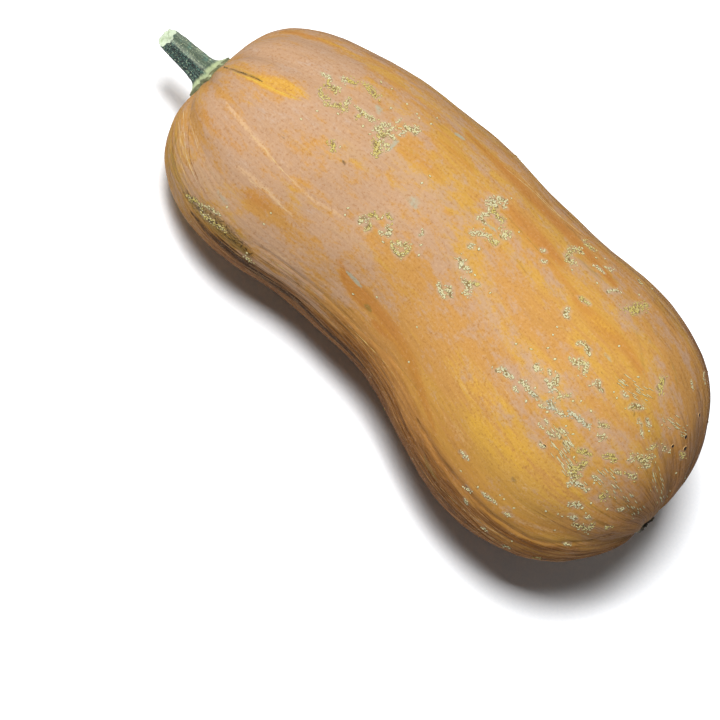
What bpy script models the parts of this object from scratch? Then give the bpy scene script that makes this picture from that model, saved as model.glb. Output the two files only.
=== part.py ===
"""A butternut squash with a thick neck, lying on its side: the fruit, its cut stem and its dried blossom scar.

Metres, +Z up. The chord from the stem seat to the blossom seat runs along +X, and the neck bends towards +Y.
The origin is the middle of the flat spot on which the bulb rests. An angle round the fruit is 0 at +Y and 90 at
the top.
"""

import math

import bmesh
import bpy
import numpy as np
from mathutils import Vector
from mathutils.bvhtree import BVHTree

MM = 0.001

# Driving dimensions of the fruit. A station is a distance along the chord from the crown's shoulders.
FRUIT_LENGTH = 304 * MM
NECK_RADIUS = 63.3 * MM
BULB_RADIUS = 73.8 * MM
CROWN_LENGTH = 84 * MM
BULB_STATION = 229 * MM
SWELL_START = 151 * MM
CROWN_ARCH = 2.0
CROWN_BLUNTNESS = 3.75
BLOSSOM_ARCH = 2.1
BLOSSOM_BLUNTNESS = 2.22
OVAL = 0.012

# Station and offset of the centreline towards +Y. Close to the poles it slides back to the chord.
BEND = (
    (0.0, 1.6 * MM),
    (32 * MM, 4.6 * MM),
    (67 * MM, 9.5 * MM),
    (95 * MM, 14.6 * MM),
    (123 * MM, 17.8 * MM),
    (144 * MM, 18.4 * MM),
    (165 * MM, 16.7 * MM),
    (194 * MM, 12.7 * MM),
    (222 * MM, 10.6 * MM),
    (FRUIT_LENGTH, 7.0 * MM),
)
POLE_SLIDE = 34 * MM

# The hollows in which the stem and the blossom scar sit.
STEM_HOLLOW_DEPTH = 0.5 * MM
STEM_HOLLOW_WIDTH = 16 * MM
BLOSSOM_HOLLOW_DEPTH = 2.4 * MM
BLOSSOM_HOLLOW_WIDTH = 13 * MM

# Ten furrows part the ribs. Each has its own turn away from even spacing and its own share of the depth.
FURROW_COUNT = 10
FURROW_START = 12.0
FURROW_TURNS = (0.0, 4.0, -3.0, 2.0, -5.0, 3.0, 5.0, -4.0, 1.0, -2.0)
FURROW_SHARES = (0.8, 0.5, 1.0, 0.55, 0.75, 1.2, 1.3, 0.9, 0.7, 1.0)
FURROW_WIDTH = 8.0
CROWN_FURROW_DEPTH = 2.2 * MM
CROWN_FURROW_REACH = 34 * MM
BLOSSOM_FURROW_DEPTH = 1.9 * MM
BLOSSOM_FURROW_REACH = 62 * MM
BODY_FURROW_DEPTH = 0.55 * MM
TWIST = 7.0

# The furrows shallow out between these radii, towards the poles.
FURROW_FADE = (5 * MM, 22 * MM)

# Slow unevenness of a grown fruit: height, waves along the fruit, waves round it, phase in degrees.
SWELLINGS = (
    (0.7 * MM, 1.7, 2, 40.0),
    (0.6 * MM, 2.9, 3, 200.0),
    (0.45 * MM, 4.3, 5, 310.0),
    (0.3 * MM, 6.1, 4, 95.0),
)

# The fruit lies on its bulb and its neck, each a little flattened where it grew against the ground.
FLAT_DEPTH = 1.7 * MM
LARGEST_LEAN = math.radians(12.0)
LEAN_STEPS = 40

# The stem, a ridged column with a lobed foot, cut off at a slant. It stands longest at the angle of its cut.
STEM_LENGTH = 28 * MM
STEM_RADIUS = 6.5 * MM
STEM_TIP_RADIUS = 5.1 * MM
STEM_FOOT_RADIUS = 12.2 * MM
STEM_FLARE = 1.6 * MM
STEM_RIDGES = 5
STEM_RIDGE_SHARE = 0.09
STEM_FOOT_LOBE_SHARE = 0.14
STEM_RIDGE_ANGLE = 115.0
STEM_CURVE = -1.3 * MM
STEM_CUT_ANGLE = 295.0
STEM_CUT_SLOPE = 0.6
STEM_CUT_HOLLOW = 0.7 * MM
FOOT_EDGE = 0.9 * MM

# The blossom scar, a corky button: its underside, then its top as shares of the outline and of the height.
SCAR_RADIUS = 5.6 * MM
SCAR_HEIGHT = 2.4 * MM
SCAR_LOBES = 5
SCAR_LOBE_SHARE = 0.13
SCAR_UNDER_SHARES = (0.0, 0.25, 0.5, 0.75, 0.97)
SCAR_TOP = ((1.0, 0.25), (0.92, 0.8), (0.74, 1.0), (0.45, 0.63), (0.0, 0.51))

# The gap between touching pieces, and the fineness of the meshes.
SEAT_GAP = 0.3 * MM
FRUIT_RINGS = 62
FRUIT_SIDES = 80
PROFILE_SAMPLES = 4000
STEM_SIDES = 40
STEM_RINGS = 18
STEM_RING_CROWDING = 2.2
FOOT_RINGS = 4
CUT_RING_SHARES = (0.66, 0.33, 0.0)
SCAR_SIDES = 30
RAY_START = 80 * MM

# Colours in linear light.
RIND_COLOUR = (0.66, 0.36, 0.14, 1.0)
STEM_COLOUR = (0.13, 0.20, 0.11, 1.0)
SCAR_COLOUR = (0.10, 0.085, 0.06, 1.0)
RIND_ROUGHNESS = 0.5
STEM_ROUGHNESS = 0.7
SCAR_ROUGHNESS = 0.85


def clear_scene():
    """Removes the objects that the scene starts with."""
    for obj in list(bpy.data.objects):
        bpy.data.objects.remove(obj, do_unlink=True)


def finish_of(name, colour, roughness):
    """A material with one Principled BSDF."""
    material = bpy.data.materials.new(name)
    material.use_nodes = True
    shader = material.node_tree.nodes["Principled BSDF"]
    shader.inputs["Base Color"].default_value = colour
    shader.inputs["Roughness"].default_value = roughness
    shader.inputs["Metallic"].default_value = 0.0
    return material


def smooth_step(low, high, value):
    """0 below low and 1 above high, with a smooth rise between."""
    share = np.clip((value - low) / (high - low), 0.0, 1.0)
    return share * share * (3.0 - 2.0 * share)


def smooth_through(points, where):
    """A curve through the given points with no corners: cubic stretches with matching slopes."""
    stations, offsets = np.array(points).T
    slopes = np.gradient(offsets, stations)
    index = np.clip(np.searchsorted(stations, where, side="right") - 1, 0, len(stations) - 2)
    span = stations[index + 1] - stations[index]
    t = (where - stations[index]) / span
    start = (2 * t**3 - 3 * t**2 + 1) * offsets[index] + (t**3 - 2 * t**2 + t) * span * slopes[index]
    end = (3 * t**2 - 2 * t**3) * offsets[index + 1] + (t**3 - t**2) * span * slopes[index + 1]
    return start + end


def profile_radius(station):
    """The fruit's radius at a station: a neck that swells into the bulb, with a blunt crown and a round end."""
    radius = NECK_RADIUS + (BULB_RADIUS - NECK_RADIUS) * smooth_step(SWELL_START, BULB_STATION, station)
    to_crown = np.clip(1.0 - station / CROWN_LENGTH, 0.0, 1.0)
    to_end = np.clip((station - BULB_STATION) / (FRUIT_LENGTH - BULB_STATION), 0.0, 1.0)
    crown = (1.0 - to_crown**CROWN_ARCH) ** (1.0 / CROWN_BLUNTNESS)
    end = (1.0 - to_end**BLOSSOM_ARCH) ** (1.0 / BLOSSOM_BLUNTNESS)
    return radius * crown * end


def even_stations(rings):
    """Stations that part the profile from pole to pole into steps of equal length."""
    sweep = np.linspace(0.0, math.pi, PROFILE_SAMPLES)
    station = FRUIT_LENGTH * (1.0 - np.cos(sweep)) / 2.0
    radius = profile_radius(station)
    travelled = np.concatenate([[0.0], np.cumsum(np.hypot(np.diff(station), np.diff(radius)))])
    return np.interp(np.linspace(0.0, travelled[-1], rings + 1), travelled, station)


def furrow_depth(station, angle):
    """How deep the furrows between the ribs lie below the smooth fruit. The angle is in degrees."""
    from_end = FRUIT_LENGTH - station
    depth = (
        CROWN_FURROW_DEPTH * np.exp(-((station / CROWN_FURROW_REACH) ** 2))
        + BLOSSOM_FURROW_DEPTH * np.exp(-((from_end / BLOSSOM_FURROW_REACH) ** 2))
        + BODY_FURROW_DEPTH
    )
    total = np.zeros(np.broadcast(station, angle).shape)
    turned = angle - TWIST * station / FRUIT_LENGTH
    for index in range(FURROW_COUNT):
        middle = FURROW_START + index * 360.0 / FURROW_COUNT + FURROW_TURNS[index]
        away = (turned - middle + 180.0) % 360.0 - 180.0
        total += FURROW_SHARES[index] * np.exp(-((away / FURROW_WIDTH) ** 2))
    return depth * total * smooth_step(*FURROW_FADE, profile_radius(station))


def swelling_height(station, angle):
    """Slow waves over the skin, which fade out at both poles."""
    along = station / FRUIT_LENGTH
    turn = np.radians(angle)
    height = np.zeros(np.broadcast(station, angle).shape)
    for size, waves_along, waves_round, phase in SWELLINGS:
        shift = math.radians(phase)
        wave = np.sin(2 * math.pi * waves_along * along + shift)
        height += size * wave * np.cos(waves_round * turn + shift)
    return height * np.sin(math.pi * along) ** 0.5


def smooth_fruit(station, angle):
    """Points of the fruit with no furrows or swellings, with the chord along +X."""
    turn = np.radians(angle)
    radius = profile_radius(station)
    hollow = STEM_HOLLOW_DEPTH * np.exp(-((radius / STEM_HOLLOW_WIDTH) ** 2)) * (station < BULB_STATION)
    dent = BLOSSOM_HOLLOW_DEPTH * np.exp(-((radius / BLOSSOM_HOLLOW_WIDTH) ** 2)) * (station > BULB_STATION)
    centre = smooth_through(BEND, station) * smooth_step(0.0, POLE_SLIDE, radius)
    reach = radius * (1.0 + OVAL * np.cos(2 * turn))
    points = (station + hollow - dent, centre + reach * np.cos(turn), reach * np.sin(turn))
    return np.stack(np.broadcast_arrays(*points), axis=-1)


def outward(points):
    """Unit normals of a grid of points, ring by ring, that closes round the fruit."""
    along = np.gradient(points, axis=0)
    around = np.roll(points, -1, axis=1) - np.roll(points, 1, axis=1)
    normal = np.cross(around, along)
    normal[0] = (-1.0, 0.0, 0.0)
    normal[-1] = (1.0, 0.0, 0.0)
    return normal / np.linalg.norm(normal, axis=-1, keepdims=True)


def ribbed_fruit(rings, sides):
    """The skin as a grid of points with the chord along +X, from the stem's pole to the blossom's."""
    station = even_stations(rings)[:, None]
    angle = np.arange(sides)[None, :] * 360.0 / sides
    points = smooth_fruit(station, angle)
    relief = swelling_height(station, angle) - furrow_depth(station, angle)
    relief[0] = relief[1].mean()
    relief[-1] = relief[-2].mean()
    return points + relief[..., None] * outward(points)


def chord_axes(lean):
    """Unit vectors along the chord, across it and square to both, once the stem end has dropped by the lean."""
    along = np.array((math.cos(lean), 0.0, math.sin(lean)))
    across = np.array((0.0, 1.0, 0.0))
    upward = np.array((-math.sin(lean), 0.0, math.cos(lean)))
    return along, across, upward


def resting_lean(points):
    """The lean at which the bulb and the neck reach equally low, found by halving."""
    bulb = points[..., 0] > (SWELL_START + BULB_STATION) / 2.0
    low, high = 0.0, LARGEST_LEAN
    for _ in range(LEAN_STEPS):
        lean = (low + high) / 2.0
        height = (points @ np.array(chord_axes(lean)))[..., 2]
        if height[bulb].min() < height[~bulb].min():
            low = lean
        else:
            high = lean
    return lean


def lay_down(points, lean):
    """The fruit at rest: leaned, flattened where it meets the ground, its bulb's flat spot at the origin."""
    bulb = points[..., 0] > (SWELL_START + BULB_STATION) / 2.0
    points = points @ np.array(chord_axes(lean))
    points[..., 2] -= points[..., 2].min() + FLAT_DEPTH
    points[..., 2] = np.maximum(points[..., 2], 0.0)
    flat = points[bulb & (points[..., 2] == 0.0)]
    return points - (flat.min(axis=0) + flat.max(axis=0)) / 2.0


def close_grid(name, grid, material):
    """A closed mesh object from rings of points, of which the first and the last are each a single point."""
    mesh = bmesh.new()
    first = mesh.verts.new(grid[0][0])
    last = mesh.verts.new(grid[-1][0])
    rings = [[mesh.verts.new(point) for point in ring] for ring in grid[1:-1]]
    sides = len(rings[0])
    for side in range(sides):
        beside = (side + 1) % sides
        mesh.faces.new((first, rings[0][side], rings[0][beside]))
        mesh.faces.new((last, rings[-1][beside], rings[-1][side]))
        for ring, ahead in zip(rings, rings[1:]):
            mesh.faces.new((ring[side], ahead[side], ahead[beside], ring[beside]))
    bmesh.ops.recalc_face_normals(mesh, faces=mesh.faces)
    bmesh.ops.triangulate(mesh, faces=mesh.faces)
    data = bpy.data.meshes.new(name)
    mesh.to_mesh(data)
    mesh.free()
    data.shade_smooth()
    data.materials.append(material)
    obj = bpy.data.objects.new(name, data)
    bpy.context.scene.collection.objects.link(obj)
    return obj


def facing(across, upward, angle):
    """The direction out from the chord at an angle round it, in degrees."""
    return across * math.cos(math.radians(angle)) + upward * math.sin(math.radians(angle))


def seat_of(tree, pole, offset, direction):
    """The point of the fruit that a ray along the chord meets, at an offset from the pole."""
    start = pole + offset - direction * RAY_START
    return tree.ray_cast(start, direction)[0]


def stem_outline(share, angle):
    """The stem's radius at a share of its length, ridged up the column and lobed at the foot."""
    column = STEM_RADIUS + (STEM_TIP_RADIUS - STEM_RADIUS) * share**2
    spread = (STEM_FOOT_RADIUS - STEM_RADIUS) * np.exp(-share * STEM_LENGTH / STEM_FLARE)
    lobes = np.cos(np.radians(STEM_RIDGES * (angle - STEM_RIDGE_ANGLE)))
    ridge = STEM_RIDGE_SHARE * column + STEM_FOOT_LOBE_SHARE * spread
    return column + spread + ridge * lobes


def build_stem(tree, stem_pole, lean, material):
    """The stem: a foot that follows the crown, a ridged column that curves a little, and a slanted cut."""
    along, across, upward = (Vector(axis) for axis in chord_axes(lean))
    angles = np.arange(STEM_SIDES) * 360.0 / STEM_SIDES
    directions = [facing(across, upward, angle) for angle in angles]
    foot = stem_outline(0.0, angles)
    rings = []
    for step in range(FOOT_RINGS + 1):
        reach = [direction * float(radius) * step / FOOT_RINGS for direction, radius in zip(directions, foot)]
        rings.append([seat_of(tree, stem_pole, offset, along) - along * SEAT_GAP for offset in reach])
    edge = rings[-1]
    seat = stem_pole - along * SEAT_GAP
    slant = facing(across, upward, STEM_CUT_ANGLE)
    for step in range(STEM_RINGS + 1):
        share = (step / STEM_RINGS) ** STEM_RING_CROWDING
        middle = seat + across * STEM_CURVE * share**2
        ring = []
        for direction, radius, widest, below in zip(directions, stem_outline(share, angles), foot, edge):
            rise = share * STEM_LENGTH + STEM_CUT_SLOPE * share**2 * radius * direction.dot(slant)
            sag = (below - seat).dot(along) * (radius / widest) ** 2 * (1.0 - share)
            ring.append(middle + direction * float(radius) - along * float(FOOT_EDGE + rise - sag))
        rings.append(ring)
    top = rings[-1]
    centre = sum(top, Vector()) / len(top)
    for share in CUT_RING_SHARES:
        hollow = along * STEM_CUT_HOLLOW * (1.0 - share**2)
        rings.append([centre + (point - centre) * share + hollow for point in top])
    return close_grid("stem", rings, material)


def build_scar(tree, blossom_pole, lean, material):
    """The blossom scar: a lobed button with a shallow crater, which follows the fruit's end below."""
    along, across, upward = (Vector(axis) for axis in chord_axes(lean))
    angles = np.arange(SCAR_SIDES) * 360.0 / SCAR_SIDES
    outline = SCAR_RADIUS * (1.0 + SCAR_LOBE_SHARE * np.cos(np.radians(SCAR_LOBES * angles)))
    rings = []
    for share, height in [(share, 0.0) for share in SCAR_UNDER_SHARES] + list(SCAR_TOP):
        ring = []
        for angle, radius in zip(angles, outline):
            offset = facing(across, upward, angle) * float(radius) * share
            seat = seat_of(tree, blossom_pole, offset, -along)
            ring.append(seat + along * (SEAT_GAP + height * SCAR_HEIGHT))
        rings.append(ring)
    return close_grid("blossom_scar", rings, material)


def build_squash():
    """Builds the three pieces."""
    clear_scene()
    skin = ribbed_fruit(FRUIT_RINGS, FRUIT_SIDES)
    lean = resting_lean(skin)
    grid = lay_down(skin, lean)
    fruit = close_grid("fruit", grid, finish_of("rind", RIND_COLOUR, RIND_ROUGHNESS))
    tree = BVHTree.FromObject(fruit, bpy.context.evaluated_depsgraph_get())
    build_stem(tree, Vector(grid[0][0]), lean, finish_of("stem_bark", STEM_COLOUR, STEM_ROUGHNESS))
    build_scar(tree, Vector(grid[-1][0]), lean, finish_of("scar_cork", SCAR_COLOUR, SCAR_ROUGHNESS))


build_squash()
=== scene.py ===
"""The looks of a butternut squash on its side: its rind with corky flecks, its cut stem and its scar.

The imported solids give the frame. Lengths are in metres. A station is a distance along the chord from the
crown, and an angle round the fruit is 0 at +Y and 90 at the top.
"""

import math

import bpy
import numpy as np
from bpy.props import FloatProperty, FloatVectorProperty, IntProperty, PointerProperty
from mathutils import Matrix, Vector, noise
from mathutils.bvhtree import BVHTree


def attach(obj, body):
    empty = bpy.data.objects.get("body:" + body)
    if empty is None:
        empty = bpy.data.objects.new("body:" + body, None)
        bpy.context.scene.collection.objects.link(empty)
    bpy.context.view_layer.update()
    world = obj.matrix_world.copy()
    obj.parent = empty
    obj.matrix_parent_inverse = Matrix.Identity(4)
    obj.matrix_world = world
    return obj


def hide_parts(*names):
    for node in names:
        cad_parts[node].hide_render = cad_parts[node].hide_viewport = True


bl_info = {
    "name": "Butternut Squash Looks",
    "version": (1, 0, 0),
    "blender": (4, 5, 0),
    "location": "3D View > Sidebar > Squash",
    "description": "Grows the rind, cork, stem and blossom scar of a butternut squash over its solids",
    "category": "Add Mesh",
}

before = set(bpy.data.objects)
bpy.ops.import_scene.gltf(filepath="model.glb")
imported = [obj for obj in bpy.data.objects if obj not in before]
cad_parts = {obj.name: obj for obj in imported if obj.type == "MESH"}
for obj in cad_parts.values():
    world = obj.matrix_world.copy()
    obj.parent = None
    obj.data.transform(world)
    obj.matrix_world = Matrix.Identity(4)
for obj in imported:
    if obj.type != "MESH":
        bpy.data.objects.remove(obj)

MM = 0.001
NODES = ("fruit", "stem", "blossom_scar")

# The fruit, with the same driving dimensions as its solid.
FRUIT_LENGTH = 304 * MM
NECK_RADIUS = 63.3 * MM
BULB_RADIUS = 73.8 * MM
CROWN_LENGTH = 84 * MM
BULB_STATION = 229 * MM
SWELL_START = 151 * MM
CROWN_ARCH = 2.0
CROWN_BLUNTNESS = 3.75
BLOSSOM_ARCH = 2.1
BLOSSOM_BLUNTNESS = 2.22
OVAL = 0.012
BEND = (
    (0.0, 1.6 * MM),
    (32 * MM, 4.6 * MM),
    (67 * MM, 9.5 * MM),
    (95 * MM, 14.6 * MM),
    (123 * MM, 17.8 * MM),
    (144 * MM, 18.4 * MM),
    (165 * MM, 16.7 * MM),
    (194 * MM, 12.7 * MM),
    (222 * MM, 10.6 * MM),
    (FRUIT_LENGTH, 7.0 * MM),
)
POLE_SLIDE = 34 * MM
STEM_HOLLOW_DEPTH = 0.5 * MM
STEM_HOLLOW_WIDTH = 16 * MM
BLOSSOM_HOLLOW_DEPTH = 2.4 * MM
BLOSSOM_HOLLOW_WIDTH = 13 * MM
FURROW_COUNT = 10
FURROW_START = 12.0
FURROW_TURNS = (0.0, 4.0, -3.0, 2.0, -5.0, 3.0, 5.0, -4.0, 1.0, -2.0)
FURROW_SHARES = (0.8, 0.5, 1.0, 0.55, 0.75, 1.2, 1.3, 0.9, 0.7, 1.0)
FURROW_WIDTH = 8.0
CROWN_FURROW_DEPTH = 2.2 * MM
CROWN_FURROW_REACH = 34 * MM
BLOSSOM_FURROW_DEPTH = 1.9 * MM
BLOSSOM_FURROW_REACH = 62 * MM
BODY_FURROW_DEPTH = 0.55 * MM
TWIST = 7.0
FURROW_FADE = (5 * MM, 22 * MM)
SWELLINGS = (
    (0.7 * MM, 1.7, 2, 40.0),
    (0.6 * MM, 2.9, 3, 200.0),
    (0.45 * MM, 4.3, 5, 310.0),
    (0.3 * MM, 6.1, 4, 95.0),
)
FLAT_DEPTH = 1.7 * MM
LARGEST_LEAN = math.radians(12.0)
LEAN_STEPS = 40
SOLID_RINGS = 62
SOLID_SIDES = 80
PROFILE_SAMPLES = 4000
RAY_START = 80 * MM

# The stem and the scar, with the same driving dimensions as their solids.
STEM_LENGTH = 28 * MM
STEM_RADIUS = 6.5 * MM
STEM_TIP_RADIUS = 5.1 * MM
STEM_FOOT_RADIUS = 12.2 * MM
STEM_FLARE = 2.2 * MM
STEM_RIDGES = 5
STEM_RIDGE_SHARE = 0.09
STEM_FOOT_LOBE_SHARE = 0.14
STEM_RIDGE_ANGLE = 115.0
STEM_CURVE = -1.3 * MM
STEM_CUT_ANGLE = 295.0
STEM_CUT_SLOPE = 0.6
STEM_CUT_HOLLOW = 0.7 * MM
STEM_SHADY_SIDE = (-0.966, 0.259, 0.0)
FOOT_EDGE = 1.5 * MM
STEM_CORE_DEPTH = 2 * MM
STEM_SKIRT_DEPTH = 0.5 * MM
SCAR_RADIUS = 5.6 * MM
SCAR_HEIGHT = 2.4 * MM
SCAR_LOBES = 5
SCAR_LOBE_SHARE = 0.13

# The bark's finer relief: ribs, each with a share, a count, a phase and a turn up the stem, and waves of
# noise, each with a size and a height in millimetres. Rings of points lie closer near the foot.
STEM_RING_CROWDING = 1.6
STEM_RIBS = ((0.014, 20, 40, 0), (0.012, 33, 0, 200))
FOOT_CRINKLE = (0.05, 17, 90)
BARK_WAVES = ((2.3 * MM, 0.16), (0.9 * MM, 0.09))

# The ragged cut: its rings as shares of its rim, how pale its rim and edge are, and how far it is torn. A jag
# has a height, and a reach and a level in the noise that shapes it.
CUT_RINGS = (0.96, 0.9, 0.8, 0.68, 0.55, 0.42, 0.3, 0.18, 0.08, 0.0)
CUT_WAVES = ((1.1 * MM, 0.4), (0.5 * MM, 0.18))
CUT_CRUMB_RISE = 8
CUT_RIM = 0.25
CUT_EDGE = 0.7
CUT_EDGE_SHARE = 0.9
CUT_JAG = (1.1 * MM, 2.2, 3.1)
STEM_JAG_START = 0.86
SPLINTER_HEIGHT = 0.35 * MM
SPLINTER_WIDTH = 9.0
SPLINTER_PLACE = (7.3, 1.9)

# The scar's section: shares of its radius and of its height. Its crumbs lean outwards by the splay.
SCAR_PROFILE = (
    (0.0, -0.5), (0.55, -0.4), (1.0, -0.25), (1.05, 0.15), (1.0, 0.45), (0.95, 0.72), (0.88, 0.9),
    (0.79, 1.0), (0.68, 0.97), (0.58, 0.82), (0.48, 0.66), (0.36, 0.6), (0.24, 0.66), (0.12, 0.74),
    (0.0, 0.76),
)
SCAR_WAVES = ((2.1 * MM, 0.9), (0.9 * MM, 0.45))
SCAR_SPLAY = 0.7

# The camera. A place in the photograph is given as x and y in its 720 by 720 pixels.
PHOTO_SIZE = 720
CAMERA_EYE = (-202.7 * MM, -802.0 * MM, 1678.0 * MM)
VIEW_ELEVATION = 65.0
VIEW_AZIMUTH = -10.0
VIEW_ROLL = 56.19
FOCAL_PIXELS = 3695.4
SENSOR_WIDTH = 36.0

# The studio: a soft light nearly overhead, a little towards the stem.
FRUIT_MIDDLE = (-0.07, 0.0, 0.07)
KEY_PLACE = (-0.62, -0.26, 1.87)
KEY_SIZE = 0.6
FLOOR_REACH = 6.0

# The rind's fine mesh and its relief. Fine ridges, in sets with a pitch in degrees, a share and a wander,
# run along the flank on which the fruit leaned while it grew.
RIND_RINGS = 240
RIND_SIDES = 416
GRAIN_RADIUS = 66 * MM
LUMP_SIZE = 21 * MM
RIDGE_MIDDLE = 188.0
RIDGE_SPREAD = 30.0
RIDGE_PITCHES = ((7.2, 0.55, 6.0), (4.1, 0.45, 9.0))
RIDGE_WAVES = (37 * MM, 15 * MM)
RIDGE_TURN = 0.3
RIDGE_EVERYWHERE = 0.12
LUMP_OCTAVES = 3
RIDGE_FADE = (8 * MM, 30 * MM)
GROOVE_STEP = 3.0

# Where the skin swells past its solid: height, station and reach along it, angle and reach round it.
BULGES = (
    (3.0 * MM, 45 * MM, 27 * MM, 203.0, 38.0),
    (2.0 * MM, 262 * MM, 32 * MM, 25.0, 42.0),
)

# Grooves between ribs that the photograph shows clearly: depth, half width, and the places that they pass.
GROOVES = (
    (0.7 * MM, 2.1 * MM, ((417, 420), (427, 437), (438, 455), (449, 469), (459, 481), (474, 498),
                          (491, 514), (512, 528), (531, 539), (553, 544), (576, 543), (590, 541),
                          (612, 534))),
    (0.2 * MM, 2.4 * MM, ((507, 493), (522, 504), (538, 514), (559, 520), (585, 528))),
    (0.4 * MM, 1.8 * MM, ((249, 242), (267, 251), (290, 268), (324, 294), (352, 322), (368, 336),
                          (384, 350), (406, 374), (420, 394))),
    (0.3 * MM, 1.6 * MM, ((430, 470), (444, 490), (458, 506), (474, 521), (494, 535))),
    (0.6 * MM, 1.0 * MM, ((206, 63), (221, 67), (232, 70), (243, 73), (255, 77), (270, 82))),
    (0.4 * MM, 1.3 * MM, ((222, 223), (230, 230), (240, 241), (248, 250), (255, 256))),
)

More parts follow.
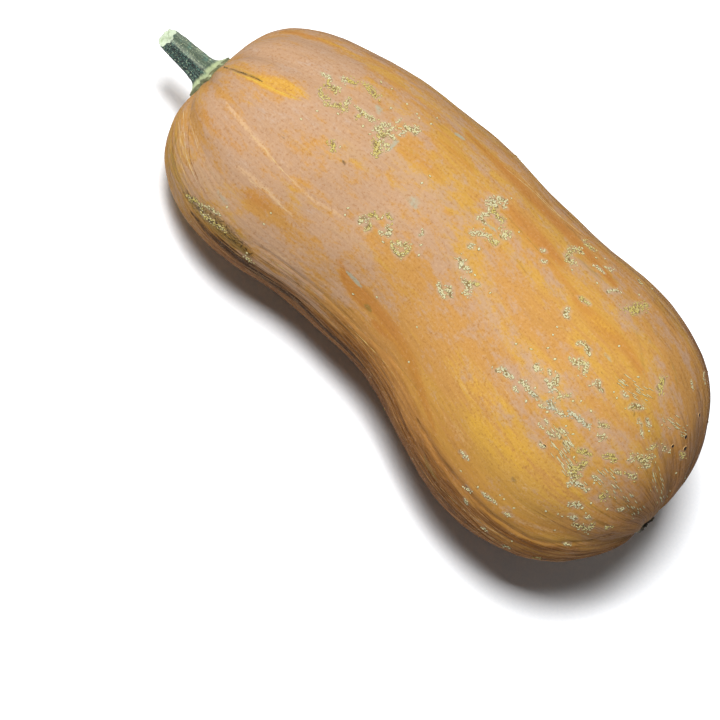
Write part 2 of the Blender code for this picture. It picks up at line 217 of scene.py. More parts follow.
# Where the skin's colour changes. Each stroke has a strength, a radius, and the places that it passes.
PAINT = {
    "yellow": (
        (1.0, 1.4 * MM, ((238, 74), (250, 79), (268, 87), (285, 95), (300, 101))),
        (0.85, 5.0 * MM, ((262, 78), (280, 83), (294, 90), (306, 97))),
        (0.6, 2.6 * MM, ((320, 39), (340, 47), (362, 58))),
        (0.6, 2.5 * MM, ((390, 167), (394, 171))),
        (0.7, 13.0 * MM, ((478, 424), (500, 444), (520, 462))),
        (0.5, 12.0 * MM, ((540, 480), (575, 492))),
        (0.4, 10.0 * MM, ((452, 365), (470, 395))),
        (0.5, 4.0 * MM, ((586, 316), (600, 324), (613, 333))),
        (0.35, 16.0 * MM, ((540, 300), (590, 350), (630, 390), (650, 430))),
        (0.6, 7.0 * MM, ((472, 382), (490, 398), (505, 412))),
    ),
    "vein": (
        (0.75, 4.0 * MM, ((446, 418), (456, 430), (468, 446))),
        (0.6, 4.0 * MM, ((500, 468), (516, 482), (536, 492))),
        (0.8, 2.2 * MM, ((472, 484), (495, 503), (520, 521), (545, 530), (580, 534))),
        (0.7, 2.0 * MM, ((512, 496), (527, 510), (543, 519), (559, 524))),
        (1.0, 1.8 * MM, ((226, 102), (238, 118), (252, 136), (264, 148), (272, 160), (280, 168))),
        (0.9, 1.5 * MM, ((280, 168), (296, 184), (311, 198), (318, 203), (332, 210), (350, 224))),
        (1.0, 1.8 * MM, ((249, 180), (258, 186), (267, 189), (273, 197), (277, 202), (292, 216))),
        (0.8, 2.4 * MM, ((235, 165), (250, 175), (266, 186))),
        (0.8, 1.4 * MM, ((187, 108), (183, 124), (180, 140), (184, 156), (192, 172))),
        (0.8, 1.2 * MM, ((196, 104), (194, 126), (199, 150), (210, 176))),
        (0.8, 1.4 * MM, ((205, 206), (217, 213), (226, 222))),
        (0.8, 1.5 * MM, ((249, 239), (268, 248), (287, 260), (302, 268), (330, 288))),
        (0.7, 1.5 * MM, ((488, 366), (502, 384), (514, 402))),
        (0.6, 1.8 * MM, ((452, 372), (468, 392), (486, 410))),
    ),
    "orange": (
        (0.4, 5.0 * MM, ((618, 372), (634, 396), (646, 424))),
        (0.3, 9.0 * MM, ((392, 78), (415, 100), (437, 130), (460, 160))),
        (0.6, 8.0 * MM, ((505, 205), (535, 235), (560, 262))),
        (0.6, 7.0 * MM, ((576, 300), (600, 325), (628, 350), (640, 370))),
        (1.0, 3.0 * MM, ((341, 272), (350, 288), (362, 303), (376, 312))),
        (0.5, 4.0 * MM, ((440, 140), (456, 154), (472, 170))),
        (0.4, 5.0 * MM, ((400, 152), (420, 162), (440, 178))),
        (0.9, 3.6 * MM, ((374, 322), (384, 331), (392, 338))),
        (0.55, 2.6 * MM, ((282, 31), (300, 34), (322, 40), (345, 49))),
        (0.7, 6.0 * MM, ((340, 262), (362, 292), (392, 330), (410, 360), (422, 395), (434, 430))),
        (0.7, 6.0 * MM, ((468, 134), (500, 165), (530, 196), (560, 226), (590, 256), (614, 284))),
        (0.5, 8.0 * MM, ((250, 196), (268, 206))),
        (0.4, 9.0 * MM, ((196, 112), (222, 128), (240, 150))),
        (0.5, 12.0 * MM, ((432, 440), (458, 478), (490, 508), (530, 528), (575, 532))),
        (0.5, 3.0 * MM, ((502, 211), (538, 250), (575, 293), (615, 333))),
        (0.5, 2.2 * MM, ((550, 216), (572, 228), (592, 240), (640, 284))),
    ),
    "pink": (
        (1.0, 17.0 * MM, ((255, 52), (290, 48), (325, 56), (350, 66))),
        (0.9, 17.0 * MM, ((262, 112), (300, 118), (345, 122), (385, 128))),
        (0.5, 10.0 * MM, ((372, 75), (400, 100), (430, 140))),
        (0.7, 9.0 * MM, ((205, 80), (225, 84), (245, 96))),
        (0.6, 17.0 * MM, ((236, 205), (268, 232), (304, 262), (338, 292))),
        (0.6, 12.0 * MM, ((310, 215), (340, 245), (370, 280), (395, 320))),
        (0.12, 15.0 * MM, ((474, 258), (498, 300), (500, 340))),
        (0.9, 5.0 * MM, ((240, 252), (264, 268), (292, 286), (324, 314), (340, 330))),
        (0.8, 2.4 * MM, ((476, 520), (486, 527), (497, 533))),
        (0.9, 22.0 * MM, ((215, 110), (235, 150), (262, 190))),
        (0.6, 16.0 * MM, ((300, 160), (340, 190), (400, 200))),
        (0.7, 9.0 * MM, ((413, 200), (425, 225), (440, 262))),
        (0.7, 4.0 * MM, ((496, 356), (506, 362), (515, 372))),
    ),
    # Partly weathering and partly painted shade: darker brown along the limbs that turn from the light.
    "weathered_and_limb_shade": (
        (0.35, 6.0 * MM, ((688, 318), (697, 350), (699, 380), (695, 405))),
        (0.9, 5.5 * MM, ((402, 426), (420, 448), (434, 470), (450, 490), (470, 509), (492, 525),
                         (516, 540), (542, 549), (574, 549))),
    ),
    "grey": (
        (1.0, 1.4 * MM, ((346, 271), (354, 279), (362, 288))),
        (0.45, 1.8 * MM, ((614, 376), (630, 388), (645, 404), (663, 417), (686, 433))),
        (0.55, 4.0 * MM, ((218, 190), (224, 200), (228, 207))),
        (0.5, 2.5 * MM, ((530, 394), (552, 406), (570, 412), (590, 427))),
        (0.9, 1.2 * MM, ((487, 224), (492, 228), (497, 232))),
        (1.0, 1.6 * MM, ((455, 133), (460, 136), (465, 140))),
        (0.9, 1.4 * MM, ((399, 138), (394, 144), (389, 150))),
        (0.7, 3.0 * MM, ((378, 107), (379, 112))),
        (0.6, 4.0 * MM, ((413, 200), (415, 206))),
        (0.55, 1.8 * MM, ((604, 353), (611, 361))),
        (0.4, 9.0 * MM, ((603, 478), (616, 498), (628, 510))),
    ),
    "olive": (
        (0.35, 5.0 * MM, ((570, 246), (588, 266), (600, 280))),
        (0.8, 2.6 * MM, ((424, 456), (428, 466), (437, 480))),
        (0.45, 2.2 * MM, ((636, 330), (641, 350), (645, 379))),
        (0.4, 2.2 * MM, ((668, 352), (676, 376), (678, 404))),
        (0.8, 2.0 * MM, ((366, 305), (370, 310))),
        (0.6, 1.3 * MM, ((206, 64), (232, 69), (243, 73), (262, 80))),
        (0.5, 3.4 * MM, ((178, 132), (172, 152), (176, 176), (186, 196))),
        (0.8, 6.5 * MM, ((186, 196), (203, 212), (218, 226), (232, 240), (247, 255))),
        (0.5, 4.0 * MM, ((600, 494), (610, 498))),
    ),
    "dark": (
        (0.6, 2.4 * MM, ((512.5, 478), (515, 482))),
        (0.5, 1.8 * MM, ((524, 467), (525, 468))),
        (0.8, 1.3 * MM, ((343, 161), (345, 164))),
        (0.4, 1.6 * MM, ((497, 348), (498, 349))),
        (0.6, 1.1 * MM, ((282, 137), (284, 138))),
        (0.7, 1.0 * MM, ((602, 373), (603, 374))),
        (0.7, 1.0 * MM, ((634, 411), (634, 419))),
        (0.7, 0.9 * MM, ((340, 296), (341, 297))),
        (0.7, 0.9 * MM, ((520, 418), (521, 419))),
    ),
    "scurf": (
        (0.7, 8.5 * MM, ((184, 194), (202, 210), (217, 222), (232, 236), (250, 254))),
        (0.45, 5.0 * MM, ((610, 488), (628, 506))),
    ),
    # Painted shade with some bruising: a dark band along the lower flank's limb, the shade of a fruit beside
    # it.
    "limb_shade_and_bruise": (
        (1.0, 5.0 * MM, ((192, 214), (208, 234), (230, 251), (248, 265), (270, 281), (294, 299),
                         (314, 318), (334, 337), (350, 352), (364, 366))),
        (0.5, 3.0 * MM, ((200, 216), (222, 240), (252, 262), (284, 286))),
        (0.6, 3.0 * MM, ((412, 458), (430, 483), (452, 509), (478, 534), (500, 548))),
    ),
}
MASKS = (*PAINT, "crust_and_gap_shade", "cork_halo", "blossom_end", "ground", "groove")
PAINT_STEP = 2.0

# Where the skin changes with the fruit's form, in degrees round it and in stations: a flank that is partly
# weathered brown and partly painted shade where it turns from the light, a band on the other side that is
# partly weathered and partly painted shade along that limb, a weathered band on the hidden side, the ripest
# flank, and the blossom end. A flank has the angles and stations over which it sets in and ends. A band has a
# middle, a spread and a share, and the shoulder's share grows over some stations.
WEATHERED_SHADED_FLANK = ((150.0, 192.0), (262.0, 226.0), (12 * MM, 80 * MM))
WEATHERED_SHADED_SHOULDER = (20.0, 24.0, 0.45, 0.35, (210 * MM, 265 * MM))
WEATHERED_BACK = (318.0, 14.0, 0.5)
RIPE_FLANK = ((112.0, 172.0), (270.0, 240.0), (80 * MM, 160 * MM), (300 * MM, 262 * MM))
RIPE_SHARE = 0.5
BLOSSOM_END = (262 * MM, 300 * MM)
GROUND_SPOT = (4 * MM, 16 * MM)

# Cork flecks: tone, width of the trail in pixels, and the places that it passes. Tones are 0 for cream,
# 1 for yellow and -1 for grey.
TRAILS = (
    (0.1, 4, ((322, 74), (329, 76), (331, 79))),
    (1.0, 6, ((328, 82), (329, 85), (326, 86))),
    (0.6, 5, ((330, 86), (336, 88), (340, 89))),
    (0.8, 4, ((321, 88), (320, 93), (323, 98), (330, 99))),
    (0.7, 4, ((324, 103), (329, 105), (335, 105), (340, 106), (343, 110), (348, 110))),
    (0.4, 4, ((348, 106), (345, 103), (350, 98))),
    (0.5, 3, ((334, 90), (336, 94))),
    (0.2, 4, ((341, 78), (345, 80), (345, 83))),
    (1.0, 5, ((348, 79), (352, 82), (356, 85))),
    (0.9, 5, ((364, 83), (369, 88), (373, 92), (376, 96), (379, 97))),
    (0.3, 5, ((357, 107), (361, 112), (364, 114), (370, 118), (375, 121))),
    (0.9, 4, ((356, 117), (361, 115))),
    (0.2, 6, ((373, 130), (379, 128), (384, 125), (389, 126), (394, 129))),
    (0.5, 6, ((379, 133), (383, 136), (389, 131))),
    (0.2, 5, ((389, 134), (394, 139))),
    (0.8, 7, ((380, 140), (375, 143), (377, 148), (379, 152), (375, 156))),
    (0.3, 6, ((380, 142), (386, 146), (389, 146), (387, 150))),
    (0.2, 3, ((397, 122), (401, 119))),
    (0.1, 6, ((404, 126), (407, 129), (412, 129), (418, 130), (415, 134))),
    (-0.2, 5, ((399, 134), (404, 133))),
    (0.9, 5, ((331, 141), (334, 146), (333, 151))),
    (0.2, 5, ((359, 223), (362, 219), (367, 218))),
    (0.8, 5, ((369, 215), (374, 215), (378, 218))),
    (0.6, 5, ((370, 223), (368, 228), (366, 232))),
    (0.9, 5, ((387, 214), (390, 218), (392, 221))),
    (0.0, 4, ((386, 227), (390, 230), (389, 235), (383, 234), (380, 232))),
    (0.6, 5, ((392, 243), (393, 247), (396, 252), (400, 255), (405, 253), (409, 249), (408, 245))),
    (0.4, 4, ((395, 243), (401, 245), (406, 244))),
    (0.0, 4, ((420, 235), (423, 232))),
    (0.0, 5, ((459, 258), (461, 261), (460, 265), (466, 268), (471, 271))),
    (0.0, 4, ((439, 282), (440, 286), (441, 293), (446, 298))),
    (0.1, 5, ((446, 289), (450, 288), (450, 292), (450, 296))),
    (0.1, 5, ((463, 280), (465, 282), (470, 286), (467, 292), (469, 296))),
    (0.6, 4, ((471, 283), (476, 284), (480, 284))),
    (-0.1, 6, ((487, 205), (492, 200), (501, 199), (507, 201))),
    (0.0, 6, ((490, 206), (494, 204), (497, 206))),
    (0.0, 3, ((502, 206), (507, 208))),
    (0.9, 6, ((489, 212), (494, 210), (496, 213))),
    (0.1, 5, ((478, 219), (483, 215), (489, 214))),
    (0.2, 4, ((483, 221), (485, 223))),
    (0.8, 6, ((497, 217), (501, 219), (504, 221))),
    (0.1, 5, ((470, 232), (474, 234), (480, 233), (484, 235), (490, 236))),
    (0.4, 5, ((501, 231), (506, 233), (510, 234), (506, 237), (501, 237))),
    (0.7, 5, ((489, 239), (492, 241), (497, 243), (494, 246))),
    (0.0, 4, ((468, 247), (471, 245), (473, 247))),
    (0.0, 3, ((541, 250), (546, 251))),
    (0.0, 3, ((541, 261), (546, 262))),
    (0.4, 6, ((583, 253), (578, 249), (571, 251), (567, 256), (570, 261), (576, 264))),
    (0.6, 5, ((584, 241), (589, 246), (594, 250))),
    (0.1, 3, ((594, 265), (600, 269), (604, 273))),
    (0.1, 3, ((605, 267), (610, 269), (613, 271))),
    (0.0, 3, ((607, 292), (613, 290), (620, 292))),
    (1.0, 8, ((625, 309), (632, 309), (638, 306), (648, 305))),
    (0.9, 6, ((632, 313), (642, 311))),
    (0.2, 3, ((639, 281), (642, 284))),
    (0.7, 4, ((579, 297), (590, 304))),
    (0.1, 5, ((568, 308), (565, 313), (569, 318))),
    (-0.2, 5, ((496, 371), (502, 368), (507, 374), (514, 378))),
    (0.0, 4, ((520, 381), (527, 386), (530, 391))),
    (-0.1, 3, ((514, 387), (518, 392))),
    (0.2, 4, ((537, 364), (534, 368), (542, 370))),
    (0.0, 3, ((549, 369), (551, 374))),
    (0.1, 4, ((546, 380), (549, 385))),
    (-0.1, 5, ((553, 380), (552, 385), (552, 390), (554, 392))),
    (0.2, 4, ((557, 374), (558, 379), (556, 385))),
    (0.4, 4, ((560, 393), (558, 399))),
    (0.5, 3, ((565, 396), (571, 395))),
    (0.3, 3, ((538, 405), (544, 407))),
    (-0.5, 6, ((531, 394), (537, 396))),
    (-0.6, 7, ((549, 402), (554, 408))),
    (-0.1, 4, ((556, 411), (564, 416))),
    (-0.1, 3, ((546, 420), (547, 424))),
    (0.1, 3, ((539, 423), (542, 428))),
    (0.2, 3, ((547, 431), (554, 438))),
    (0.1, 3, ((557, 434), (560, 437))),
    (0.2, 3, ((560, 429), (566, 433))),
    (0.0, 3, ((540, 443), (542, 448))),
    (-0.5, 6, ((569, 411), (578, 419), (590, 427))),
    (0.5, 5, ((600, 424), (607, 426))),
    (0.2, 5, ((599, 437), (605, 438))),
    (0.2, 3, ((564, 443), (569, 444), (572, 446))),
    (0.8, 5, ((578, 451), (585, 451), (590, 456))),
    (0.3, 4, ((586, 345), (588, 350), (589, 355))),
    (0.2, 3, ((577, 344), (585, 343))),
    (0.3, 6, ((570, 359), (576, 364), (581, 361), (586, 366), (583, 374))),
    (0.0, 5, ((594, 383), (597, 385), (600, 381))),
    (0.1, 3, ((600, 389), (603, 391))),
    (0.8, 6, ((664, 378), (662, 383), (658, 388), (662, 393))),
    (0.0, 4, ((622, 393), (627, 397))),
    (0.4, 5, ((629, 408), (635, 406), (643, 408))),
    (0.0, 4, ((646, 419), (650, 426))),
    (0.1, 3, ((639, 420), (641, 424))),
    (0.1, 3, ((641, 430), (642, 437))),
    (0.5, 3, ((656, 445), (649, 449))),
    (0.9, 6, ((605, 457), (611, 455), (615, 461))),
    (0.5, 8, ((634, 456), (643, 461), (652, 457))),
    (0.2, 4, ((645, 467), (649, 465))),
    (0.2, 4, ((629, 461), (632, 458))),
    (0.8, 6, ((568, 465), (575, 470), (586, 462))),
    (0.5, 5, ((569, 472), (575, 477), (581, 475))),
    (-0.2, 5, ((568, 484), (574, 482), (583, 486))),
    (0.1, 4, ((593, 477), (597, 478))),
    (0.0, 3, ((585, 491), (590, 489))),
    (0.9, 6, ((599, 498), (603, 496), (606, 497))),
    (0.0, 6, ((569, 504), (575, 505), (582, 506))),
    (0.5, 5, ((573, 525), (582, 527), (589, 529), (594, 523))),
    (0.2, 4, ((586, 517), (590, 519))),
    (-0.3, 5, ((571, 515), (576, 519))),
    (0.8, 4, ((605, 528), (611, 527))),
    (0.0, 3, ((617, 510), (624, 508))),
    (0.5, 5, ((627, 474), (636, 478))),
    (0.4, 4, ((616, 470), (620, 473))),
    (0.2, 4, ((663, 447), (668, 450))),
    (0.7, 4, ((680, 452), (684, 455), (681, 459))),
    (0.0, 2, ((691, 380), (693, 390))),
    (0.0, 2, ((703, 373), (705, 384))),
    (0.0, 3, ((460, 452), (464, 454), (468, 459))),
    (0.0, 3, ((465, 486), (471, 492))),
    (0.0, 3, ((482, 492), (486, 496), (493, 501), (496, 503))),
    (0.1, 3, ((504, 513), (511, 515))),
    (0.0, 3, ((465, 499), (467, 504))),
    (0.0, 3, ((483, 528), (486, 531))),
    (0.1, 3, ((502, 545), (510, 548))),
    (0.3, 3, ((564, 544), (570, 545))),
    (1.0, 4, ((190, 199), (194, 201))),
    (0.7, 4, ((187, 196), (199, 203), (202, 214), (210, 219), (217, 225), (226, 231))),
    (0.2, 3, ((205, 206), (217, 213), (221, 215))),
    (0.4, 3, ((245, 256), (252, 263))),
)

# Single beads of cork, pale striae that run along the fruit, and small pits with a pale lip.
BEADS = (
    (338, 114), (363, 126), (370, 134), (340, 147), (391, 108), (407, 104), (417, 114), (419, 118),
    (431, 124), (437, 118), (392, 89), (381, 82), (422, 183), (430, 176), (348, 208), (345, 215),
    (382, 218), (383, 242), (419, 255), (421, 245), (377, 297), (353, 294), (466, 260), (462, 293),
    (475, 275), (490, 293), (479, 249), (519, 232), (484, 229), (417, 327), (409, 362), (596, 258),
    (605, 259), (572, 270), (597, 283), (652, 289), (639, 295), (553, 335), (548, 348), (557, 327),
    (619, 346), (516, 344), (531, 349), (555, 359), (535, 388), (526, 401), (573, 401), (581, 401),
    (614, 392), (617, 398), (547, 412), (566, 426), (573, 434), (566, 435), (574, 457), (591, 411),
    (638, 377), (649, 431), (662, 425), (607, 509), (586, 513), (591, 503), (594, 483), (546, 511),
    (558, 514), (562, 516), (555, 530), (461, 471), (478, 487), (500, 495), (504, 499), (514, 508),
    (512, 541), (676, 473), (685, 478), (264, 224), (271, 213), (317, 111), (301, 119), (227, 207),
    (247, 253),
)
STRIAE = (
    ((549, 441), (569, 469), 10), ((616, 377), (649, 398), 9), ((663, 417), (686, 433), 8),
    ((555, 425), (570, 450), 7), ((600, 470), (640, 515), 14), ((655, 470), (665, 500), 8),
)
PITS = (
    (544, 446, 1.0), (685.5, 437, 1.0), (685, 448.5, 1.15), (672.5, 446, 0.85), (699, 415, 0.9),
)

# How a bead of cork is made, with lengths in millimetres and the spacing in pixels. Its rings have a share of
# its reach and of its height; its low, wide first ring is darkened partly as painted shade in the gaps. A
# halo's reach, or the reach of the dark bed round a trail that is partly crusty skin and partly painted
# shade, grows with each pixel of the trail's width.
CORK_SEED = 7
BEAD_SIDES = 6
BEAD_RINGS = ((1.35, -0.12), (1.08, 0.3), (0.66, 0.86))
BEAD_LENGTH = (0.28, 0.78)
BEAD_WIDTH = (0.22, 0.43)
BEAD_GAP = 0.75
BEAD_SWING = 0.9
BEAD_ROOT = 0.3
BEAD_LIFT = (0.75, 1.25)
TONE_SPREAD = 0.2
RAGGEDNESS = 0.22
COMMON_TRAIL = 3.6
TRAIL_MARGIN = 0.6
TRAIL_STRAY = 0.33
HALO_REACH = (1.4, 0.35)
CRUST_AND_GAP_SHADE_REACH = (0.55, 0.16)
SINGLE_LENGTH = (0.5, 0.8)
SINGLE_WIDTH = (0.4, 0.55)
SINGLE_TONE = 0.05
LEAST_STEP = 1e-3
STRIA_LENGTH = (0.9, 2.0)
STRIA_WIDTH = (0.16, 0.26)
STRIA_TONE = 0.1
STRIA_CROWD = 3
STRIA_STRAY = 0.45

# Cork where the photograph doesn't show the skin: how much it may face the camera, as a cosine, how many
# beads a cluster has, and how far it wanders and strays, in millimetres.
HIDDEN_CLUSTERS = 46
HIDDEN_BEADS = 130
HIDDEN_SPAN = (-0.11, 0.14)
HIDDEN_FACING = 0.15
HIDDEN_CLEARANCE = 3 * MM
HIDDEN_COUNT = (9, 40)
HIDDEN_TONES = (-0.2, 1.0)
HIDDEN_STEP = 0.7
HIDDEN_STRAY = 0.8
HIDDEN_AIM = 5

# A pit's rings from its foot over its lip into its hollow: share of its radius, rise in millimetres, lip.
PIT_SIDES = 14
PIT_RAGGEDNESS = 0.16
PIT_RINGS = ((1.3, -0.1, 1.0), (1.15, 0.12, 1.0), (0.98, 0.2, 0.5), (0.85, 0.08, 0.0), (0.4, 0.04, 0.0))
PIT_FLOOR = 0.02
PIT_ROOT = 0.2

# Fine seams and veins: tone, width, and the places that they pass. Tones are -1 for a dark crack, 0 for
# yellow and 1 for cream. A section's rise is in millimetres. The swells are the thinnest, the middle, the
# wander and the widest share of a seam's width.
SEAMS = (
    (-1.0, 1.0 * MM, ((212, 64.5), (222, 66.5), (232, 69), (243, 73), (255, 78), (263, 82))),
    (0.1, 0.8 * MM, ((228, 70), (243, 75.5), (255, 80.5), (268, 87), (285, 94), (302, 101))),
    (1.0, 0.6 * MM, ((183, 104), (184, 132), (186, 156), (194, 176), (204, 196))),
    (0.8, 0.5 * MM, ((192, 128), (195, 138), (198, 149))),
    (0.6, 0.5 * MM, ((176, 108), (180, 132), (180, 160), (188, 184))),
    (-0.6, 0.5 * MM, ((192, 106), (188, 132), (190, 160), (200, 184), (208, 198))),
    (-0.7, 0.45 * MM, ((172, 120), (172, 146), (177, 172), (184, 190))),
    (0.7, 0.45 * MM, ((249, 180), (258, 186), (267, 189), (277, 202), (292, 216))),
    (0.6, 0.5 * MM, ((240, 120), (252, 136), (264, 148), (280, 168), (296, 184))),
    (-0.45, 0.55 * MM, ((249, 242), (267, 251), (290, 268), (324, 294), (352, 322), (368, 336),
                        (384, 350), (406, 374), (420, 394))),
    (-0.8, 0.5 * MM, ((240, 246), (262, 259), (285, 274), (318, 300), (346, 328), (364, 346),
                      (384, 372), (398, 396))),
    (-0.9, 0.45 * MM, ((230, 244), (256, 264), (280, 281), (312, 306), (340, 334), (358, 354),
                       (376, 380))),
    (0.4, 0.5 * MM, ((262, 254), (288, 272), (320, 297))),
    (0.4, 0.5 * MM, ((348, 325), (366, 343), (388, 366), (400, 384))),
    (-0.6, 0.55 * MM, ((417, 420), (427, 437), (438, 455), (449, 469), (459, 481), (474, 498),
                       (491, 514), (512, 528), (531, 539), (553, 544), (576, 543))),
    (-0.7, 0.45 * MM, ((404, 420), (416, 446), (432, 472), (450, 495), (470, 515), (492, 532),
                       (516, 545))),
    (-0.8, 0.4 * MM, ((398, 424), (410, 450), (426, 478), (446, 503), (468, 524), (490, 540))),
    (0.6, 0.45 * MM, ((440, 487), (456, 503), (474, 518), (490, 529), (506, 537))),
    (0.6, 0.45 * MM, ((476, 528), (490, 537), (502, 544))),
    (-0.6, 0.45 * MM, ((531, 508), (553, 521), (570, 530), (582, 533))),
    (0.6, 0.5 * MM, ((504, 167), (531, 189), (553, 211), (576, 229))),
    (0.7, 0.5 * MM, ((518, 173), (544, 200), (562, 218), (584, 236))),
    (-0.5, 0.5 * MM, ((546, 214), (566, 226), (590, 240), (612, 256))),
    (-0.4, 0.45 * MM, ((502, 211), (520, 230), (538, 250), (556, 272))),
)
SEAM_SEED = 11
SEAM_STEP = 2.0
SEAM_SMOOTHINGS = 6
SEAM_SECTION = ((-1.0, -0.08), (-0.75, 0.04), (0.75, 0.04), (1.0, -0.08))
SEAM_PHASES = 100.0
SEAM_WANDER = 0.33
SEAM_SWELLS = (0.12, 0.6, 1.6, 1.3)


def linear(code):
    """The linear colour of an sRGB hex code."""
    shares = [int(code[start:start + 2], 16) / 255 for start in (1, 3, 5)]
    return (*(s / 12.92 if s <= 0.04045 else ((s + 0.055) / 1.055) ** 2.4 for s in shares), 1.0)


def smooth_step(low, high, value):
    """0 below low and 1 above high, with a smooth rise between."""
    share = np.clip((value - low) / (high - low), 0.0, 1.0)
    return share * share * (3.0 - 2.0 * share)


def smooth_through(points, where):
    """A curve through the given points with no corners: cubic stretches with matching slopes."""
    stations, offsets = np.array(points).T
    slopes = np.gradient(offsets, stations)
    index = np.clip(np.searchsorted(stations, where, side="right") - 1, 0, len(stations) - 2)
    span = stations[index + 1] - stations[index]
    t = (where - stations[index]) / span
    start = (2 * t**3 - 3 * t**2 + 1) * offsets[index] + (t**3 - 2 * t**2 + t) * span * slopes[index]
    end = (3 * t**2 - 2 * t**3) * offsets[index + 1] + (t**3 - t**2) * span * slopes[index + 1]
    return start + end


def profile_radius(station):
    """The fruit's radius at a station: a neck that swells into the bulb, a blunt crown and a round end."""
    radius = NECK_RADIUS + (BULB_RADIUS - NECK_RADIUS) * smooth_step(SWELL_START, BULB_STATION, station)
    to_crown = np.clip(1.0 - station / CROWN_LENGTH, 0.0, 1.0)
    to_end = np.clip((station - BULB_STATION) / (FRUIT_LENGTH - BULB_STATION), 0.0, 1.0)
    crown = (1.0 - to_crown**CROWN_ARCH) ** (1.0 / CROWN_BLUNTNESS)
    end = (1.0 - to_end**BLOSSOM_ARCH) ** (1.0 / BLOSSOM_BLUNTNESS)
    return radius * crown * end


def even_stations(rings):
    """Stations that part the profile from pole to pole into equal steps, and the profile's length."""
    sweep = np.linspace(0.0, math.pi, PROFILE_SAMPLES)
    station = FRUIT_LENGTH * (1.0 - np.cos(sweep)) / 2.0
    radius = profile_radius(station)
    travelled = np.concatenate([[0.0], np.cumsum(np.hypot(np.diff(station), np.diff(radius)))])
    return np.interp(np.linspace(0.0, travelled[-1], rings + 1), travelled, station), travelled[-1]


def untwisted(station, angle):
    """The angle at which the grain that passes a place sets out from the crown."""
    return angle - TWIST * station / FRUIT_LENGTH


def angle_from(angle, middle):
    """Degrees round the fruit from a middle, from -180 to 180."""
    return (angle - middle + 180.0) % 360.0 - 180.0


def furrow_share(station, angle):
    """Where the furrows between the ribs lie: about 1 in the middle of a deep furrow and 0 on a rib."""
    total = np.zeros(np.broadcast(station, angle).shape)
    for index in range(FURROW_COUNT):
        middle = FURROW_START + index * 360.0 / FURROW_COUNT + FURROW_TURNS[index]
        away = angle_from(untwisted(station, angle), middle)
        total += FURROW_SHARES[index] * np.exp(-((away / FURROW_WIDTH) ** 2))
    return total


def furrow_depth(station, angle):
    """How deep the furrows between the ribs lie below the smooth fruit. The angle is in degrees."""
    from_end = FRUIT_LENGTH - station
    depth = (
        CROWN_FURROW_DEPTH * np.exp(-((station / CROWN_FURROW_REACH) ** 2))
        + BLOSSOM_FURROW_DEPTH * np.exp(-((from_end / BLOSSOM_FURROW_REACH) ** 2))
        + BODY_FURROW_DEPTH
    )
    return depth * furrow_share(station, angle) * smooth_step(*FURROW_FADE, profile_radius(station))


def swelling_height(station, angle):
    """Slow waves over the skin, which fade out at both poles."""
    along = station / FRUIT_LENGTH
    turn = np.radians(angle)
    height = np.zeros(np.broadcast(station, angle).shape)
    for size, waves_along, waves_round, phase in SWELLINGS:
        shift = math.radians(phase)
        wave = np.sin(2 * math.pi * waves_along * along + shift)
        height += size * wave * np.cos(waves_round * turn + shift)
    return height * np.sin(math.pi * along) ** 0.5


def smooth_fruit(station, angle):
    """Points of the fruit with no furrows or swellings, with the chord along +X."""
    turn = np.radians(angle)
    radius = profile_radius(station)
    hollow = STEM_HOLLOW_DEPTH * np.exp(-((radius / STEM_HOLLOW_WIDTH) ** 2)) * (station < BULB_STATION)
    dent = BLOSSOM_HOLLOW_DEPTH * np.exp(-((radius / BLOSSOM_HOLLOW_WIDTH) ** 2)) * (station > BULB_STATION)
    centre = smooth_through(BEND, station) * smooth_step(0.0, POLE_SLIDE, radius)
    reach = radius * (1.0 + OVAL * np.cos(2 * turn))
    points = (station + hollow - dent, centre + reach * np.cos(turn), reach * np.sin(turn))
    return np.stack(np.broadcast_arrays(*points), axis=-1)


def outward(points):
    """Unit normals of a grid of points, ring by ring, that closes round the fruit."""
    along = np.gradient(points, axis=0)
    around = np.roll(points, -1, axis=1) - np.roll(points, 1, axis=1)
    normal = np.cross(around, along)
    normal[0] = (-1.0, 0.0, 0.0)
    normal[-1] = (1.0, 0.0, 0.0)
    return normal / np.linalg.norm(normal, axis=-1, keepdims=True)


def raise_skin(points, relief):
    """The grid with its points moved out by the relief, and the same relief all round each pole."""
    relief[0] = relief[1].mean()
    relief[-1] = relief[-2].mean()
    return points + relief[..., None] * outward(points)


def chord_axes(lean):
    """Unit vectors along the chord, across it and square to both, once the stem end has dropped."""
    along = np.array((math.cos(lean), 0.0, math.sin(lean)))
    across = np.array((0.0, 1.0, 0.0))
    upward = np.array((-math.sin(lean), 0.0, math.cos(lean)))
    return along, across, upward


def resting_lean(points):
    """The lean at which the bulb and the neck reach equally low, found by halving."""
    bulb = points[..., 0] > (SWELL_START + BULB_STATION) / 2.0
    low, high = 0.0, LARGEST_LEAN
    for _ in range(LEAN_STEPS):
        lean = (low + high) / 2.0
        height = (points @ np.array(chord_axes(lean)))[..., 2]
        if height[bulb].min() < height[~bulb].min():
            low = lean
        else:
            high = lean
    return lean


def lying_pose():
    """How the solid lies: its lean, how far it sinks into its flat spots, and its shift to the origin."""
    station = even_stations(SOLID_RINGS)[0][:, None]
    angle = np.arange(SOLID_SIDES)[None, :] * 360.0 / SOLID_SIDES
    relief = swelling_height(station, angle) - furrow_depth(station, angle)
    points = raise_skin(smooth_fruit(station, angle), relief)
    bulb = points[..., 0] > (SWELL_START + BULB_STATION) / 2.0
    lean = resting_lean(points)
    points = points @ np.array(chord_axes(lean))
    drop = points[..., 2].min() + FLAT_DEPTH
    points[..., 2] = np.maximum(points[..., 2] - drop, 0.0)
    flat = points[bulb & (points[..., 2] == 0.0)]
    return lean, drop, (flat.min(axis=0) + flat.max(axis=0)) / 2.0


def lay_down(points, pose):
    """Points with the chord along +X, put where the solid lies and flattened where it meets the ground."""
    lean, drop, shift = pose
    points = points @ np.array(chord_axes(lean))
    points[..., 2] = np.maximum(points[..., 2] - drop, 0.0)
    return points - shift


